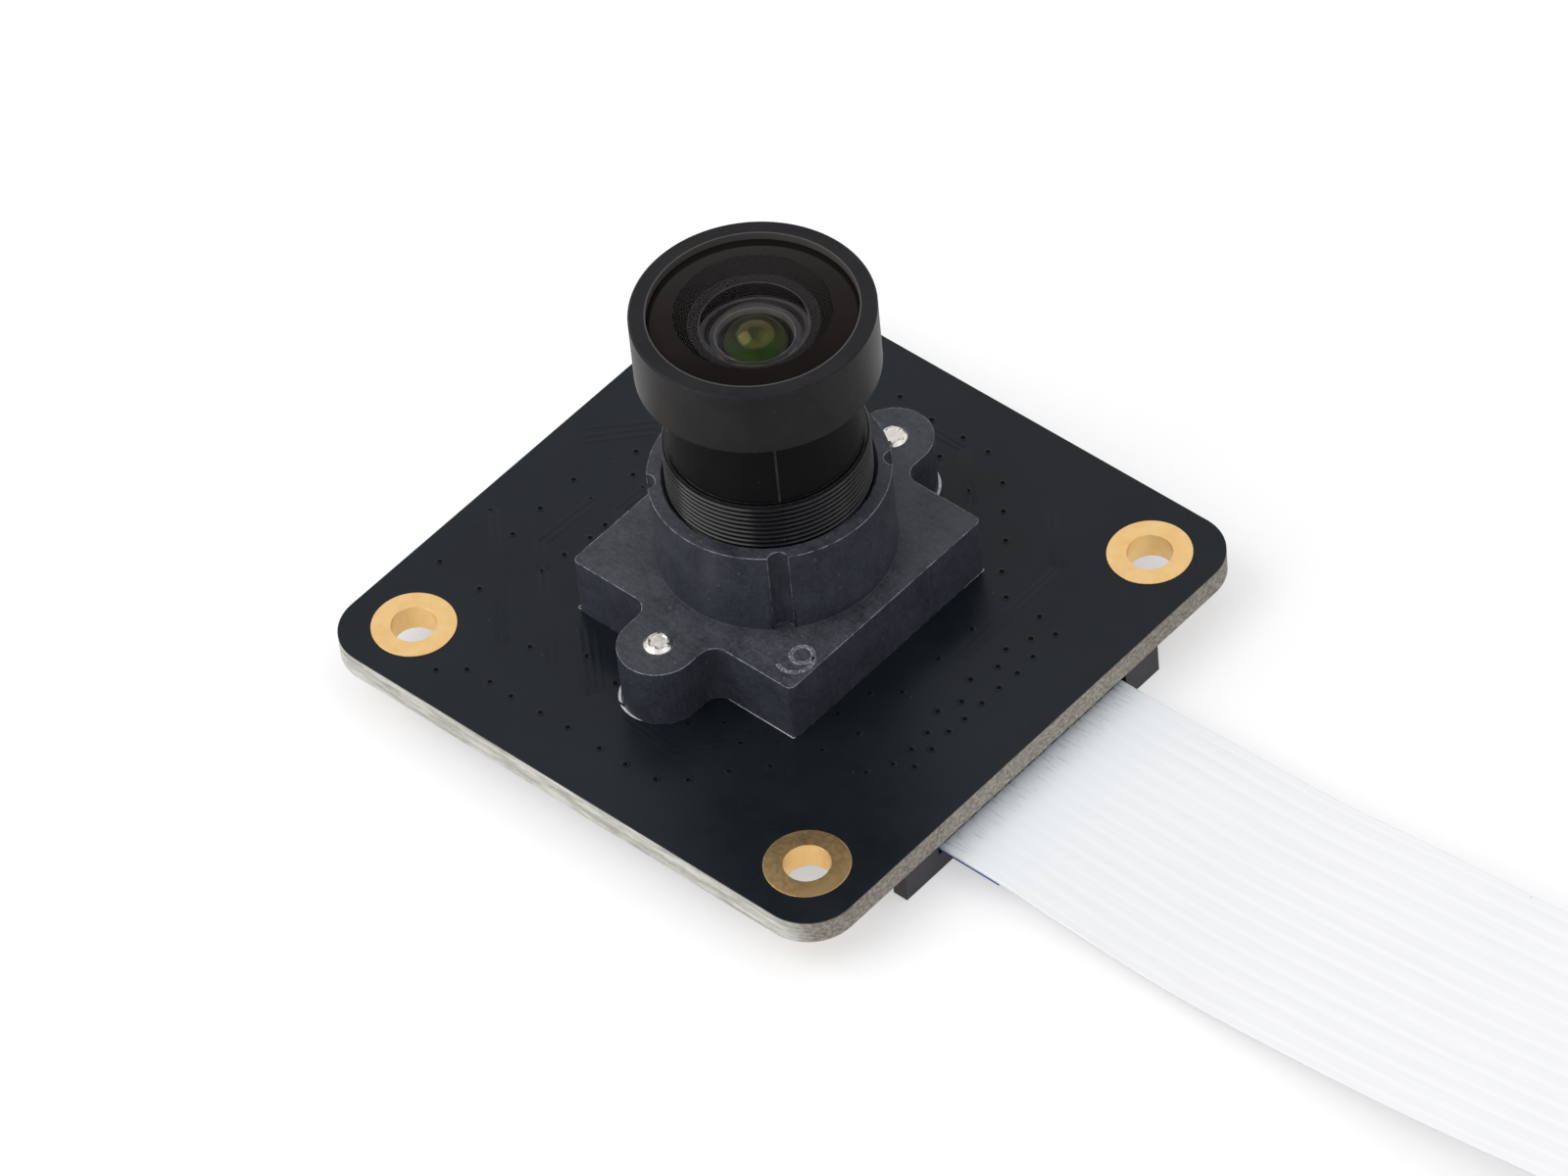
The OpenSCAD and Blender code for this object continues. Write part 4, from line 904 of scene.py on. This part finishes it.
second_dome = put_on("second_dome", small, "lens_glass", [coated_glass, depth_painted_reflection, rear_ink_and_sheen], corner=30)
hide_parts("second_lens")

# %% [markdown]
# ## Marks of the mould
# A two-part mould leaves a thin seam down the neck of the lens, and the holder carries the number of its cavity, raised by a hair near the front corner of the foot.
# The screws come up through the ears, and their cut points are slightly cupped and uneven, so they glitter.

# %% Mould seam
seam = bmesh.new()
SEAM_TURN = math.radians(-40.3)
NECK_R = 5.55
bmesh.ops.create_cube(
    seam, size=1.0,
    matrix=Matrix.Scale(MM, 4) @ Matrix.Rotation(SEAM_TURN, 4, "Z") @ Matrix.Translation((NECK_R, 0, 17.2)) @ Matrix.Diagonal((0.07, 0.13, 5.4, 1)),
)
upright = [e for e in seam.edges if abs((e.verts[0].co - e.verts[1].co).z) > 0.001]
bmesh.ops.bevel(seam, geom=upright, offset=0.00003, affect="EDGES", segments=2, profile=0.5, material=-1)
mould_seam = put_on("mould_seam", seam, "lens_barrel", [seam_plastic], corner=60)

# %% Screw points
FOOT_TOP = 5.7
points_mesh = bmesh.new()
ear_spots = [(0, -10.2), (0, 10.2)]
point_outline = [
    (0.66, 5.7), (0.68, 5.85), (0.66, 5.93), (0.61, 5.98), (0.55, 5.985), (0.48, 5.96), (0.41, 5.87), (0.35, 5.8), (0.18, 5.77), (0, 5.77),
]
for spot_x, spot_y in ear_spots:
    verts = [points_mesh.verts.new(Vector((spot_x + r, spot_y, z)) * MM) for r, z in point_outline]
    edges = [points_mesh.edges.new(pair) for pair in zip(verts, verts[1:])]
    bmesh.ops.spin(
        points_mesh, geom=verts + edges, cent=Vector((spot_x, spot_y, 0)) * MM, axis=(0, 0, 1), angle=2 * math.pi, steps=40, use_merge=True
    )
bmesh.ops.remove_doubles(points_mesh, verts=points_mesh.verts[:], dist=1e-7)
for vert in points_mesh.verts:
    spot = min(ear_spots, key=lambda c: (vert.co.xy / MM - Vector(c)).length)
    out = vert.co.xy / MM - Vector(spot)
    turn = math.atan2(out.y, out.x)
    vert.co.z += MM * (0.035 * math.sin(5 * turn + 1.2) + 0.025 * math.sin(9 * turn)) * min(1, out.length / 0.5)
    if out.length > 0.3:
        vert.co.xy += (out.normalized() * 0.028 * math.sin(6 * turn + 0.4)) * MM
bmesh.ops.recalc_face_normals(points_mesh, faces=points_mesh.faces[:])
for face in points_mesh.faces:
    middle = face.calc_center_median().xy / MM
    if min((middle - Vector(c)).length for c in ear_spots) < 0.38:
        face.material_index = 1
# A black disc round each screw point: partly the clearance gap, partly painted shade round the screw.
gaps = bmesh.new()
for spot_x, spot_y in ear_spots:
    gap_ring = bmesh.ops.create_circle(
        gaps, cap_ends=True, segments=40, radius=0.85 * MM, matrix=Matrix.Translation(Vector((spot_x, spot_y, FOOT_TOP + 0.004)) * MM)
    )
screw_gaps_and_shade = put_on("screw_gaps_and_shade", gaps, "board", [pit_black], corner=60)
screw_points = put_on("screw_points", points_mesh, "board", [nickel_screw, screw_cup], corner=70)

# %% Cavity number
number = bmesh.new()


def ridge_loop(mesh, centre, radius, start, sweep, width=0.32, rise=0.03, steps=20):
    """A low rounded ridge on the foot, along an arc that runs clockwise from its start, in degrees."""
    place = Matrix.Translation(Vector((centre[0], centre[1], FOOT_TOP)) * MM)
    section = [(radius - width / 2, -0.01), (radius - width / 2 + 0.05, rise), (radius + width / 2 - 0.05, rise), (radius + width / 2, -0.01)]
    first = Matrix.Rotation(math.radians(start), 4, "Z")
    verts = [mesh.verts.new(place @ first @ (Vector((r, 0, up)) * MM)) for r, up in section]
    edges = [mesh.edges.new(pair) for pair in zip(verts, verts[1:] + verts[:1])]
    full = sweep >= 360
    if not full:
        mesh.faces.new(verts)
    bmesh.ops.spin(
        mesh, geom=verts + edges, cent=Vector((centre[0], centre[1], 0)) * MM, axis=(0, 0, 1),
        angle=math.radians(sweep), steps=steps, use_merge=full,
    )


ridge_loop(number, (7.05, -5.86), 0.64, 0, 360, steps=32)
ridge_loop(number, (6.95, -6.32), 1.03, 45, -166, steps=24)
bmesh.ops.recalc_face_normals(number, faces=number.faces[:])
cavity_number = put_on("cavity_number", number, "board", [scuffed_plastic], corner=20)

# %% [markdown]
# ## Floor, room and lamps
# The studio is plain: a white floor, a white room up to about the height of a window, and a dim ceiling. A large soft lamp stands to the front left, so the shadow falls softly to the back right.
# A weaker soft lamp fills from the right. Both are large, because a small lamp makes the gold, the screws and the ribbon flash white from the side that mirrors it.
# Camera, mirror and glass rays see the floor and the room as white, and the object's own shadow stays on the floor, because the white is only added where the camera ray ends.

# %% Floor
floor_mesh = bmesh.new()
FLOOR_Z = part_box("ribbon_connector")[0].z
bmesh.ops.create_grid(floor_mesh, x_segments=1, y_segments=1, size=3.0, matrix=Matrix.Translation((0, 0, FLOOR_Z - 0.00002)))
floor_data = bpy.data.meshes.new("studio_floor")
floor_mesh.to_mesh(floor_data)
floor_mesh.free()
floor = bpy.data.objects.new("studio_floor", floor_data)
scene.collection.objects.link(floor)

floor_white, shader = finish("floor_white", Roughness=0.9, Specular_IOR_Level=0.0)
tree = floor_white.node_tree
paper = add(tree, "TexNoise", {"Vector": position(tree), "Scale": 0.8, "Detail": 3.0})
join(tree, blend_colours(tree, shape(tree, paper.outputs[0], 0.3, 0.7), (0.57, 0.57, 0.57, 1), (0.58, 0.58, 0.58, 1)), shader.inputs["Base Color"])
ray = add(tree, "LightPath")
seen = figure(tree, "MAXIMUM", ray.outputs["Is Camera Ray"], figure(tree, "MAXIMUM", ray.outputs["Is Glossy Ray"], ray.outputs["Is Transmission Ray"]))
lift = add(tree, "Emission", {"Color": (1, 1, 1, 1), "Strength": figure(tree, "MULTIPLY", seen, 0.5)})
both = add(tree, "AddShader", {0: shader.outputs[0], 1: lift.outputs[0]})
join(tree, both.outputs[0], tree.nodes["Material Output"].inputs["Surface"])
floor_data.materials.append(floor_white)
print("floor at", round(FLOOR_Z * 1000, 2), "mm")

# %% Room
world = bpy.data.worlds.new("studio_room")
world.use_nodes = True
scene.world = world
tree = world.node_tree
room = tree.nodes["Background"]
upward = add(tree, "SeparateXYZ", {0: add(tree, "TexCoord").outputs["Generated"]}).outputs[2]
CEILING_LOW, CEILING_HIGH = 0.76, 0.88
ceiling = shape(tree, upward, CEILING_LOW, CEILING_HIGH)
mirrored = blend_colours(tree, ceiling, (0.95, 0.95, 0.97, 1), (0.3, 0.33, 0.48, 1))
ray = add(tree, "LightPath")
seen = figure(tree, "MAXIMUM", ray.outputs["Is Glossy Ray"], ray.outputs["Is Transmission Ray"])
join(tree, blend_colours(tree, seen, (0.6, 0.605, 0.625, 1), mirrored), room.inputs["Color"])
white = add(tree, "Background", {"Color": (1, 1, 1, 1), "Strength": 1.0})
choice = add(tree, "MixShader", {0: ray.outputs["Is Camera Ray"], 1: room.outputs[0], 2: white.outputs[0]})
join(tree, choice.outputs[0], tree.nodes["World Output"].inputs["Surface"])
print("room ready")

# %% Lamps


def soft_lamp(name, azimuth, elevation, distance, size, power, colour=(1, 1, 1)):
    """A square soft box that looks at the lens holder. Azimuth 0 is in front, along -Y, and 90 is at +X."""
    data = bpy.data.lights.new(name, "AREA")
    data.shape = "SQUARE"
    data.size = size
    data.energy = power
    data.color = colour
    lamp = bpy.data.objects.new(name, data)
    a, e = math.radians(azimuth), math.radians(elevation)
    back = Vector((math.sin(a) * math.cos(e), -math.cos(a) * math.cos(e), math.sin(e)))
    lamp.location = Vector((0, 0, 0.01)) + back * distance
    lamp.rotation_euler = (-back).to_track_quat("-Z", "Y").to_euler()
    scene.collection.objects.link(lamp)
    return lamp


soft_lamp("key_lamp", -32, 46, 0.9, 0.8, 4.5, (1.0, 0.99, 0.975))
soft_lamp("fill_lamp", 110, 58, 1.1, 0.8, 1.2, (0.94, 0.97, 1.0))
print("lamps ready")
